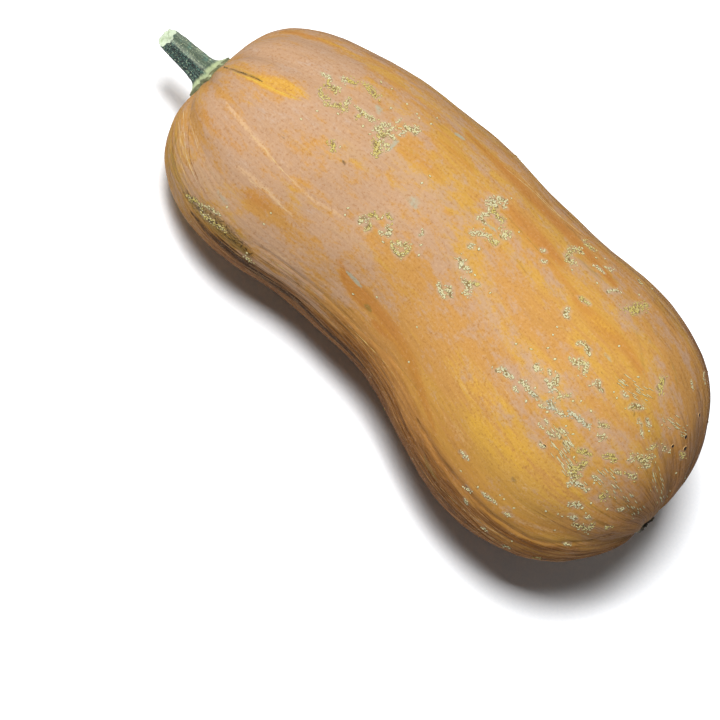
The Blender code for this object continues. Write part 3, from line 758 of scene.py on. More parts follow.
def camera_axes():
    """The camera's right, up and backward directions."""
    elevation, azimuth, roll = (math.radians(angle) for angle in (VIEW_ELEVATION, VIEW_AZIMUTH, VIEW_ROLL))
    level = Vector((math.cos(azimuth), math.sin(azimuth), 0.0))
    back = Vector((math.sin(azimuth) * math.cos(elevation), -math.cos(azimuth) * math.cos(elevation),
                   math.sin(elevation)))
    upright = back.cross(level)
    right = level * math.cos(roll) + upright * math.sin(roll)
    return right, back.cross(right), back


def skin_at(tree, pixel):
    """The place and normal of the skin that the camera sees at a pixel of the photograph, or None."""
    right, up, back = camera_axes()
    across = (pixel[0] - PHOTO_SIZE / 2) / FOCAL_PIXELS
    rise = (PHOTO_SIZE / 2 - pixel[1]) / FOCAL_PIXELS
    place, normal, _, _ = tree.ray_cast(Vector(CAMERA_EYE), (right * across + up * rise - back).normalized())
    return None if place is None else (place, normal)


def along_pixels(places, step):
    """Pixels every step along the line through the given ones."""
    found = []
    for start, end in zip(places, places[1:]):
        count = max(1, round(math.dist(start, end) / step))
        found += [tuple(a + (b - a) * share / count for a, b in zip(start, end)) for share in range(count)]
    return found + [places[-1]]


def places_on_skin(tree, pixels):
    """The skin's points at the pixels that meet it."""
    seen = [skin_at(tree, pixel) for pixel in pixels]
    return np.array([hit[0] for hit in seen if hit is not None])


def nearness(points, marks, radius):
    """1 along a line of marks, falling to 0 over about two radii, with the line tapering to both ends."""
    nearest = np.full(len(points), np.inf)
    for index, mark in enumerate(marks):
        reach = radius * (0.4 + 0.6 * math.sin(math.pi * (index + 0.5) / len(marks)))
        nearest = np.minimum(nearest, ((points - mark) ** 2).sum(axis=1) / reach**2)
    return np.exp(-nearest)


def rind_tree():
    """A search tree of the rind, on which every other piece sits."""
    rind = bpy.data.objects.get("rind")
    if rind is None:
        raise RuntimeError("this piece sits on the rind, so the rind comes first")
    return BVHTree.FromObject(rind, bpy.context.evaluated_depsgraph_get())


def link_mesh(name, points, faces, material):
    """A smooth mesh object in the scene."""
    data = bpy.data.meshes.new(name)
    data.from_pydata(points, [], faces)
    data.validate()
    data.shade_smooth()
    data.materials.append(material)
    obj = bpy.data.objects.new(name, data)
    bpy.context.scene.collection.objects.link(obj)
    return obj


def grid_faces(rings, sides):
    """Faces of a closed grid whose first and last rings are single points, after the points between."""
    first = 0
    last = 1 + (rings - 1) * sides
    faces = []
    for side in range(sides):
        beside = (side + 1) % sides
        faces.append((first, 1 + beside, 1 + side))
        faces.append((last, last - sides + side, last - sides + beside))
        for ring in range(rings - 2):
            here = 1 + ring * sides
            faces.append((here + side, here + beside, here + sides + beside, here + sides + side))
    return faces


def domed_faces(first, rings, sides):
    """Faces of a closed dome whose rings of points start at the first, and end with its top and its foot."""
    last = first + (rings - 1) * sides
    top, foot = last + sides, last + sides + 1
    faces = []
    for side in range(sides):
        beside = (side + 1) % sides
        faces.append((foot, first + beside, first + side))
        faces.append((top, last + side, last + beside))
        for ring in range(first, last, sides):
            faces.append((ring + side, ring + beside, ring + sides + beside, ring + sides + side))
    return faces


def flat_grid(values):
    """A grid's values as one list, with a single value for each pole."""
    inner = values[1:-1]
    return np.concatenate([values[:1, 0], inner.reshape((-1,) + values.shape[2:]), values[-1:, 0]])


def store(obj, name, values):
    """Keeps a number or a vector for each point of a mesh, for its material to read."""
    values = np.asarray(values, dtype=np.float32)
    kind = "FLOAT_VECTOR" if values.ndim == 2 else "FLOAT"
    attribute = obj.data.attributes.new(name, kind, "POINT")
    attribute.data.foreach_set("vector" if values.ndim == 2 else "value", values.ravel())


def place_node(tree, kind, inputs=None, **settings):
    """Adds a node, sets its settings, and sets or links its inputs."""
    node = tree.nodes.new(kind)
    for name, value in settings.items():
        setattr(node, name, value)
    for key, value in (inputs or {}).items():
        if isinstance(value, bpy.types.NodeSocket):
            tree.links.new(value, node.inputs[key])
        else:
            node.inputs[key].default_value = value
    return node


def blank_material(name):
    """A material, its node tree and its Principled BSDF."""
    material = bpy.data.materials.new(name)
    material.use_nodes = True
    return material, material.node_tree, material.node_tree.nodes["Principled BSDF"]


def patches(tree, grain, across, along, detail, roughness=0.5):
    """Noise along the grain, with patches as wide and as long as said, in metres."""
    cells = (1 / across, 1 / across, 1 / along)
    where = place_node(tree, "ShaderNodeVectorMath", {0: grain, 1: cells}, operation="MULTIPLY").outputs[0]
    inputs = {"Vector": where, "Scale": 1.0, "Detail": detail, "Roughness": roughness}
    return place_node(tree, "ShaderNodeTexNoise", inputs).outputs["Fac"]


def plus(tree, value, extra, share, middle=0.0):
    """A value plus a share of how far another stands from its middle."""
    away = place_node(tree, "ShaderNodeMath", {0: extra, 1: middle}, operation="SUBTRACT").outputs[0]
    inputs = {0: away, 1: share, 2: value}
    return place_node(tree, "ShaderNodeMath", inputs, operation="MULTIPLY_ADD").outputs[0]


def risen(tree, value, low, high, most=1.0, least=0.0, share=None):
    """How far a value has risen from low to high, as a share from least to most, times another share."""
    limits = {"Value": value, "From Min": low, "From Max": high, "To Min": least, "To Max": most}
    rise = place_node(tree, "ShaderNodeMapRange", limits, interpolation_type="SMOOTHSTEP").outputs["Result"]
    if share is None:
        return rise
    return place_node(tree, "ShaderNodeMath", {0: rise, 1: share}, operation="MULTIPLY").outputs[0]


def tinted(tree, colour, coats):
    """The colour with coats of other colours over it, each as much as its mask says."""
    for mask, tint in coats:
        coat = place_node(tree, "ShaderNodeMix", {0: mask, 6: colour, 7: tint}, data_type="RGBA")
        colour = coat.outputs[2]
    return colour


class RindSettings(bpy.types.PropertyGroup):
    """Sizes and colours of the rind."""

    lump_height: FloatProperty(
        name="Lump Height", description="How far the skin's lumps stand out", default=0.3 * MM,
        unit="LENGTH")
    ridge_height: FloatProperty(
        name="Ridge Height", description="Height of the fine ridges on the lower flank", default=0.3 * MM,
        unit="LENGTH")
    tan: FloatVectorProperty(
        name="Tan", description="The ripe skin", default=linear("#9D733D"), size=4, subtype="COLOR")
    gold: FloatVectorProperty(
        name="Gold", description="Bands of riper skin", default=linear("#A37D39"), size=4, subtype="COLOR")
    pink: FloatVectorProperty(
        name="Pink", description="Skin under a thick bloom of wax", default=linear("#967B66"), size=4,
        subtype="COLOR")


class CorkSettings(bpy.types.PropertyGroup):
    """Sizes and colours of the corky flecks."""

    height: FloatProperty(
        name="Height", description="How far a fleck stands out of the skin", default=0.34 * MM,
        unit="LENGTH")
    cream: FloatVectorProperty(
        name="Cream", description="The dry tops of the flecks", default=linear("#ACA988"), size=4,
        subtype="COLOR")
    yellow: FloatVectorProperty(
        name="Yellow", description="The tops of fresh flecks", default=linear("#A1924B"), size=4,
        subtype="COLOR")


class StemSettings(bpy.types.PropertyGroup):
    """Sizes and colours of the stem."""

    sides: IntProperty(name="Sides", description="Points round the stem", default=144, min=40)
    rings: IntProperty(name="Rings", description="Rings of points up the stem", default=90, min=20)
    bark: FloatVectorProperty(
        name="Bark", description="The dried green skin of the stem", default=linear("#475544"), size=4,
        subtype="COLOR")
    pith: FloatVectorProperty(
        name="Pith", description="The pale cut end", default=linear("#AFBAA1"), size=4, subtype="COLOR")


class ScarSettings(bpy.types.PropertyGroup):
    """Sizes and colours of the blossom scar."""

    sides: IntProperty(name="Sides", description="Points round the scar", default=96, min=30)
    cork: FloatVectorProperty(
        name="Cork", description="The dried remains of the blossom", default=linear("#322A1F"), size=4,
        subtype="COLOR")


class StageSettings(bpy.types.PropertyGroup):
    """The floor and the studio light."""

    key_power: FloatProperty(
        name="Key Power", description="Power of the large soft light", default=75.0, unit="POWER")
    sky: FloatProperty(name="Sky", description="Strength of the light from all round", default=0.1)


def rind_material(settings):
    """Cured winter squash rind: satin, with a pinkish bloom of wax, gold bands and fine streaks along it."""
    material, tree, shader = blank_material("cured_squash_rind")
    skin = place_node(tree, "ShaderNodeTexCoord").outputs["Object"]
    grain = place_node(tree, "ShaderNodeAttribute", attribute_name="lengthwise").outputs["Vector"]
    masks = {}
    for name in MASKS:
        masks[name] = place_node(tree, "ShaderNodeAttribute", attribute_name=name).outputs["Fac"]
    bands = patches(tree, grain, 17 * MM, 120 * MM, 5.0, 0.62)
    streaks = patches(tree, grain, 3.2 * MM, 26 * MM, 5.0, 0.7)
    fibres = patches(tree, grain, 0.85 * MM, 20 * MM, 3.0, 0.65)
    bloom = patches(tree, grain, 15 * MM, 30 * MM, 9.0, 0.74)
    mottle = patches(tree, grain, 4.5 * MM, 8 * MM, 4.0, 0.65)
    # The skin's pores are about as small as a pixel, so the grit that stands for them is drawn coarser.
    grit = place_node(tree, "ShaderNodeTexNoise", {
        "Vector": skin, "Scale": 1 / (1.4 * MM), "Detail": 3.0, "Roughness": 0.7}).outputs["Fac"]
    cells = (1 / (1.3 * MM), 1 / (1.3 * MM), 1 / (3.4 * MM))
    plates = place_node(tree, "ShaderNodeVectorMath", {0: grain, 1: cells}, operation="MULTIPLY").outputs[0]
    cracks = place_node(tree, "ShaderNodeTexVoronoi", {
        "Vector": plates, "Scale": 1.0}, feature="DISTANCE_TO_EDGE").outputs["Distance"]

    def ragged(name, low, high, amount, depth=0.55):
        """How much of a painted change shows, with its edge broken up along the grain."""
        rough = plus(tree, masks[name], streaks, depth, 0.5)
        return risen(tree, plus(tree, rough, grit, 0.6 * depth, 0.5), low, high, amount)

    hazy = plus(tree, bloom, masks["pink"], 0.2)
    hazy = plus(tree, hazy, masks["yellow"], -0.16)
    hazy = plus(tree, hazy, masks["orange"], -0.34)
    hazy = plus(tree, hazy, grit, 0.25, 0.5)
    hazy = plus(tree, hazy, mottle, 0.55, 0.5)
    golden = plus(tree, bands, streaks, 0.6, 0.5)
    golden = plus(tree, golden, masks["pink"], -0.22)
    # The limbs: partly weathered brown and partly painted shade where the flanks turn from the light.
    weathered_limb_shade = plus(tree, masks["weathered_and_limb_shade"], streaks, 1.5, 0.5)
    weathered_limb_shade = plus(tree, weathered_limb_shade, fibres, 0.7, 0.5)
    weathered_limb_shade = plus(tree, weathered_limb_shade, masks["blossom_end"], 0.3)
    weathered_limb_shade = plus(tree, weathered_limb_shade, masks["pink"], -0.4)
    limb_fibre_share = plus(tree, risen(tree, weathered_limb_shade, 0.2, 0.9, 0.82, 0.07), masks["blossom_end"], 0.45)
    crack_lines = risen(tree, cracks, 0.14, 0.03, share=ragged("scurf", 0.3, 0.9, 0.9, 1.1))
    colour = tinted(tree, settings.tan, (
        (risen(tree, golden, 0.42, 0.6, 0.9), settings.gold),
        (ragged("orange", 0.15, 0.75, 0.6), linear("#935B25")),
        (ragged("yellow", 0.2, 1.0, 0.75, 1.8), linear("#AE8630")),
        (risen(tree, hazy, 0.42, 0.64, 0.75), settings.pink),
        (risen(tree, hazy, 0.68, 0.92, 0.5), linear("#9A8A7E")),
        # Painted shade mixed with weathering: the limbs darken to brown.
        (risen(tree, weathered_limb_shade, 0.1, 0.8, 0.9), linear("#70461C")),
        (risen(tree, weathered_limb_shade, 0.75, 1.25, 0.65), linear("#4A2A10")),
        # Painted shade with some bruising: a near-black band along the lower flank's limb.
        (ragged("limb_shade_and_bruise", 0.2, 0.9, 0.9, 1.6), linear("#2C1E12")),
        (ragged("blossom_end", 0.2, 1.0, 0.55, 1.0), linear("#7C542C")),
        (ragged("olive", 0.25, 0.7, 0.7, 0.8), linear("#6B5829")),
        (ragged("ground", 0.3, 0.8, 0.7), linear("#B59C74")),
        (ragged("vein", 0.4, 1.2, 0.45, 1.6), linear("#BA9B74")),
        (ragged("cork_halo", 0.3, 1.0, 0.6), linear("#9B8874")),
        # Partly olive crusty skin and partly painted shade in the gaps round the cork trails.
        (ragged("crust_and_gap_shade", 0.3, 0.9, 0.85, 1.2), linear("#5C4E26")),
        (ragged("grey", 0.3, 0.8, 0.75, 0.9), linear("#868B7A")),
        # Painted shade: darker where the grooves are deeper.
        (ragged("groove", 0.4, 1.1, 0.5, 1.5), linear("#48321B")),
        (ragged("dark", 0.3, 0.8, 0.8, 0.3), linear("#3C331C")),
        (risen(tree, fibres, 0.5, 0.38, share=limb_fibre_share), linear("#38200E")),
        (risen(tree, fibres, 0.54, 0.68, 0.7, share=limb_fibre_share), linear("#AA8254")),
        (risen(tree, grit, 0.53, 0.7, 0.22), linear("#B4946F")),
        (risen(tree, grit, 0.47, 0.3, 0.45), linear("#7A4F28")),
        (crack_lines, linear("#261B12")),
    ))
    tree.links.new(colour, shader.inputs["Base Color"])
    tree.links.new(plus(tree, 0.6, streaks, 0.2), shader.inputs["Roughness"])
    shader.inputs["IOR"].default_value = 1.45
    shader.inputs["Specular IOR Level"].default_value = 0.06
    limb_fibres = place_node(tree, "ShaderNodeMath", {0: fibres, 1: limb_fibre_share}, operation="MULTIPLY").outputs[0]
    height = plus(tree, 0.0, streaks, 0.6)
    for relief, share in ((limb_fibres, 1.6), (grit, 0.35), (crack_lines, -1.2)):
        height = plus(tree, height, relief, share)
    bump = place_node(tree, "ShaderNodeBump", {"Height": height, "Strength": 0.8, "Distance": 0.45 * MM})
    tree.links.new(bump.outputs["Normal"], shader.inputs["Normal"])
    return material


def cork_material(settings):
    """Dry wound cork: chalky cream or yellow tops over an olive bed, partly painted shade, that darkens the
    gaps.
    """
    material, tree, shader = blank_material("dry_wound_cork")
    fleck = place_node(tree, "ShaderNodeAttribute", attribute_name="fleck").outputs["Vector"]
    tone, rise, shade = place_node(tree, "ShaderNodeSeparateXYZ", {0: fleck}).outputs
    skin = place_node(tree, "ShaderNodeTexCoord").outputs["Object"]
    grit = place_node(tree, "ShaderNodeTexNoise", {
        "Vector": skin, "Scale": 1 / (0.5 * MM), "Detail": 2.0}).outputs["Fac"]
    top = tinted(tree, settings.cream, (
        (risen(tree, tone, 0.0, 1.0), settings.yellow),
        (risen(tree, tone, 0.0, -1.0), linear("#93968A")),
        (plus(tree, 0.0, shade, 0.35), linear("#94824D")),
    ))
    crest = plus(tree, rise, grit, 0.5, 0.5)
    # Partly olive cork and partly painted shade: the lower a point of a bead, the darker its colour.
    colour = tinted(tree, linear("#584426"), (
        (risen(tree, crest, 0.0, 0.25), linear("#7A6738")),
        (risen(tree, crest, 0.25, 0.6), top),
    ))
    tree.links.new(colour, shader.inputs["Base Color"])
    shader.inputs["Roughness"].default_value = 0.85
    shader.inputs["IOR"].default_value = 1.4
    return material


def seam_material():
    """Healed seams and veins: dull brown or olive where the skin cracked, chalky cream where it is corky."""
    material, tree, shader = blank_material("healed_skin_seam")
    tone = place_node(tree, "ShaderNodeAttribute", attribute_name="tone").outputs["Fac"]
    colour = tinted(tree, linear("#A88A34"), (
        (risen(tree, tone, 0.1, 0.8), linear("#A8906A")),
        (risen(tree, tone, -0.1, -0.6), linear("#6E481E")),
        (risen(tree, tone, -0.6, -1.0), linear("#3A3214")),
    ))
    tree.links.new(colour, shader.inputs["Base Color"])
    shader.inputs["Roughness"].default_value = 0.8
    shader.inputs["IOR"].default_value = 1.4
    return material


def pit_material():
    """Insect and hail pits: a corky lip round a dark, dry hole, near black partly as painted shade of its
    depth.
    """
    material, tree, shader = blank_material("dried_pit_and_shade")
    lip = place_node(tree, "ShaderNodeAttribute", attribute_name="lip").outputs["Fac"]
    # Partly dark dried tissue and partly painted shade: the pit's shallow centre is near black.
    colour = tinted(tree, linear("#1B1009"), ((risen(tree, lip, 0.2, 0.8), linear("#AC8859")),))
    tree.links.new(colour, shader.inputs["Base Color"])
    shader.inputs["Roughness"].default_value = 0.8
    shader.inputs["IOR"].default_value = 1.4
    return material


def stem_material(settings):
    """Dried stem: dull blue-green bark, corky specks, painted shade and highlights, a pale foot and raw pith
    on the cut.
    """
    material, tree, shader = blank_material("dried_squash_stem")
    skin = place_node(tree, "ShaderNodeTexCoord").outputs["Object"]
    grain = place_node(tree, "ShaderNodeAttribute", attribute_name="lengthwise").outputs["Vector"]
    parts = place_node(tree, "ShaderNodeAttribute", attribute_name="stem_parts").outputs["Vector"]
    rise, cut, crest = place_node(tree, "ShaderNodeSeparateXYZ", {0: parts}).outputs
    fibre = patches(tree, grain, 0.6 * MM, 9 * MM, 4.0, 0.65)
    speck = patches(tree, grain, 0.55 * MM, 0.8 * MM, 2.0)
    patch = place_node(tree, "ShaderNodeTexNoise", {
        "Vector": skin, "Scale": 1 / (4 * MM), "Detail": 3.0}).outputs["Fac"]
    wandering = plus(tree, rise, patch, 0.12, 0.5)
    facing = place_node(tree, "ShaderNodeVectorMath", {
        0: grain, 1: STEM_SHADY_SIDE}, operation="DOT_PRODUCT").outputs["Value"]
    # Painted shade: the side facing the shady side is dark blue-green, with denser black specks.
    shady = risen(tree, facing, 0.62 * STEM_RADIUS, 0.72 * STEM_RADIUS)
    half_shady = risen(tree, shady, 0.0, 1.0, 1.0, 0.3)
    mouldy = risen(tree, patch, 0.45, 0.7)
    colour = tinted(tree, settings.bark, (
        # Painted highlight: the ridge crests are lighter grey-green.
        (risen(tree, crest, 0.2, 0.95, 0.6), linear("#7A8472")),
        # Painted shade on the stem's shady side.
        (shady, linear("#304E45")),
        (risen(tree, patch, 0.5, 0.7, 0.55), linear("#37665B")),
        (risen(tree, fibre, 0.5, 0.36, 0.75), linear("#202C26")),
        (risen(tree, fibre, 0.58, 0.7, 0.6), linear("#888F76")),
        (risen(tree, speck, 0.56, 0.44, share=half_shady), linear("#090F0D")),
        (risen(tree, speck, 0.62, 0.7, 0.8), linear("#A6AC8A")),
        (risen(tree, wandering, 0.13, 0.06, 0.9), linear("#9AA57B")),
        # Painted shadow: a dark line at the very foot, under the flange.
        (risen(tree, wandering, 0.03, 0.012, 0.85), linear("#404020")),
        (risen(tree, cut, 0.3, 0.75), settings.pith),
        (risen(tree, cut, 0.9, 1.0, share=mouldy), linear("#90A07B")),
    ))
    tree.links.new(colour, shader.inputs["Base Color"])
    shader.inputs["Roughness"].default_value = 0.68
    shader.inputs["IOR"].default_value = 1.45
    height = plus(tree, fibre, speck, 0.5)
    bump = place_node(tree, "ShaderNodeBump", {"Height": height, "Strength": 0.7, "Distance": 0.4 * MM})
    tree.links.new(bump.outputs["Normal"], shader.inputs["Normal"])
    return material


def scar_material(settings):
    """The withered blossom's corky base: nearly black, crumbling, with pale grey-green crumbs."""
    material, tree, shader = blank_material("withered_blossom_cork")
    skin = place_node(tree, "ShaderNodeTexCoord").outputs["Object"]
    crumb = place_node(tree, "ShaderNodeTexNoise", {
        "Vector": skin, "Scale": 1 / (0.9 * MM), "Detail": 3.0}).outputs["Fac"]
    patch = place_node(tree, "ShaderNodeTexNoise", {
        "Vector": skin, "Scale": 1 / (2.4 * MM), "Detail": 2.0}).outputs["Fac"]
    colour = tinted(tree, settings.cork, (
        (risen(tree, patch, 0.5, 0.66, 0.8), linear("#615D44")),
        (risen(tree, crumb, 0.58, 0.68, 0.8), linear("#94987D")),
        (risen(tree, crumb, 0.42, 0.3), linear("#110E09")),
    ))
    tree.links.new(colour, shader.inputs["Base Color"])
    shader.inputs["Roughness"].default_value = 0.85
    shader.inputs["IOR"].default_value = 1.4
    bump = place_node(tree, "ShaderNodeBump", {"Height": crumb, "Strength": 0.8, "Distance": 0.5 * MM})
    tree.links.new(bump.outputs["Normal"], shader.inputs["Normal"])
    return material


def floor_material():
    """Matt white paper, so bright that it reads as plain white wherever no shadow falls."""
    material, tree, shader = blank_material("matt_white_paper")
    place = place_node(tree, "ShaderNodeTexCoord").outputs["Object"]
    tooth = place_node(tree, "ShaderNodeTexNoise", {
        "Vector": place, "Scale": 1 / (1.5 * MM), "Detail": 2.0}).outputs["Fac"]
    colour = tinted(tree, linear("#F1F2F4"), ((risen(tree, tooth, 0.3, 0.7), linear("#EDEFF2")),))
    tree.links.new(colour, shader.inputs["Base Color"])
    shader.inputs["Roughness"].default_value = 0.95
    return material


class SQUASH_OT_rind(bpy.types.Operator):
    """Grows the fine skin of the fruit over its solid"""

    bl_idname = "squash.rind"
    bl_label = "Rind"

    def execute(self, context):
        settings = context.scene.squash_rind
        stations, length = even_stations(RIND_RINGS)
        station = stations[:, None]
        angle = np.arange(RIND_SIDES)[None, :] * 360.0 / RIND_SIDES
        station, angle = np.broadcast_arrays(station, angle)
        pose = lying_pose()
        base = smooth_fruit(station, angle)
        relief = swelling_height(station, angle) - furrow_depth(station, angle)
        for height, along, reach, turn, spread in BULGES:
            away = angle_from(untwisted(station, angle), turn)
            relief += height * np.exp(-(((station - along) / reach) ** 2) - (away / spread) ** 2)
        lying = flat_grid(lay_down(raise_skin(base, relief.copy()), pose))
        faces = grid_faces(RIND_RINGS, RIND_SIDES)
        tree = BVHTree.FromPolygons([tuple(point) for point in lying], faces)
        flat_station, flat_angle = flat_grid(station), flat_grid(angle)
        marks = [(depth, width, places_on_skin(tree, along_pixels(path, GROOVE_STEP)))
                 for depth, width, path in GROOVES]
        grooves = [nearness(lying, places, width) for _, width, places in marks]
        extra = self.fine_relief(settings, lying, flat_station, flat_angle)
        for (depth, _, _), groove in zip(marks, grooves):
            extra -= depth * groove
        inner = extra[1:-1].reshape(RIND_RINGS - 1, RIND_SIDES)
        relief[1:-1] += inner
        points = flat_grid(lay_down(raise_skin(base, relief), pose))
        obj = link_mesh("rind", points, faces, rind_material(settings))
        travelled = np.linspace(0.0, length, RIND_RINGS + 1)[:, None] + 0.0 * angle
        turn = np.radians(untwisted(flat_station, flat_angle))
        store(obj, "lengthwise", np.stack(
            [GRAIN_RADIUS * np.cos(turn), GRAIN_RADIUS * np.sin(turn), flat_grid(travelled)], axis=-1))
        masks = {name: np.zeros(len(points)) for name in MASKS}
        for name, strokes in PAINT.items():
            for strength, radius, path in strokes:
                places = places_on_skin(tree, along_pixels(path, max(PAINT_STEP, radius / MM)))
                masks[name] = np.maximum(masks[name], strength * nearness(lying, places, radius))
        for _, width, path in TRAILS:
            places = places_on_skin(tree, along_pixels(path, GROOVE_STEP))
            # The dark bed round each trail is partly crusty skin and partly painted shade in the gaps.
            for name, (least, growth) in (("cork_halo", HALO_REACH), ("crust_and_gap_shade", CRUST_AND_GAP_SHADE_REACH)):
                near = nearness(lying, places, (least + growth * width) * MM)
                masks[name] = np.maximum(masks[name], near)
        self.mark_body(masks, flat_station, flat_angle, points)
        # Painted shade: the groove mask darkens the skin in each groove in proportion to its depth.
        deepest = max(depth for depth, _, _ in marks)
        shares = [groove * mark[0] / deepest for mark, groove in zip(marks, grooves)]
        masks["groove"] = np.max(shares, axis=0)
        for name in MASKS:
            store(obj, name, masks[name])
        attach(obj, "root")
        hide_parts("fruit")
        return {"FINISHED"}

    def fine_relief(self, settings, points, station, angle):
        """Lumps all over the skin, and fine ridges along the flank."""
        lumps = [noise.fractal(Vector(point) / LUMP_SIZE, 1.0, 2.0, LUMP_OCTAVES) for point in points]
        twisted = untwisted(station, angle)
        flank = np.exp(-((angle_from(twisted, RIDGE_MIDDLE) / RIDGE_SPREAD) ** 2))
        long_wave, short_wave = RIDGE_WAVES
        ridges = np.zeros(len(points))
        for pitch, share, wander in RIDGE_PITCHES:
            wobble = wander * (np.sin(station / long_wave + pitch) + 0.5 * np.sin(station / short_wave))
            wave = np.sin(np.radians((twisted + RIDGE_TURN * wobble) * 360.0 / pitch))
            ridges += share * (1.0 - 2.0 * np.abs(wave) ** 3)
        ridges *= (RIDGE_EVERYWHERE + flank) * smooth_step(*RIDGE_FADE, profile_radius(station))
        return settings.lump_height * np.array(lumps) + settings.ridge_height * ridges

    def mark_body(self, masks, station, angle, points):
        """Masks from the fruit's form: flanks with weathering and painted shade, the blossom end and ground
        spots.
        """
        twisted = untwisted(station, angle)
        # Painted shade with weathering: the lower flank and the upper shoulder darken where they turn from
        # the light.
        begins, ends, stations = WEATHERED_SHADED_FLANK
        lower = smooth_step(*begins, twisted) * smooth_step(*ends, twisted) * smooth_step(*stations, station)
        middle, spread, least, growth, stations = WEATHERED_SHADED_SHOULDER
        upper = least + growth * smooth_step(*stations, station)
        upper *= np.exp(-((angle_from(twisted, middle) / spread) ** 2))
        middle, spread, most = WEATHERED_BACK
        hidden = most * np.exp(-((angle_from(twisted, middle) / spread) ** 2))
        masks["weathered_and_limb_shade"] = np.max([masks["weathered_and_limb_shade"], lower, upper, hidden], axis=0)
        begins, ends, rises, falls = RIPE_FLANK
        ripe = smooth_step(*begins, twisted) * smooth_step(*ends, twisted)
        ripe *= smooth_step(*rises, station) * smooth_step(*falls, station)
        masks["orange"] = np.maximum(masks["orange"], RIPE_SHARE * ripe)
        masks["blossom_end"] = smooth_step(*BLOSSOM_END, station)
        masks["ground"] = 1.0 - smooth_step(*GROUND_SPOT, points[:, 2])


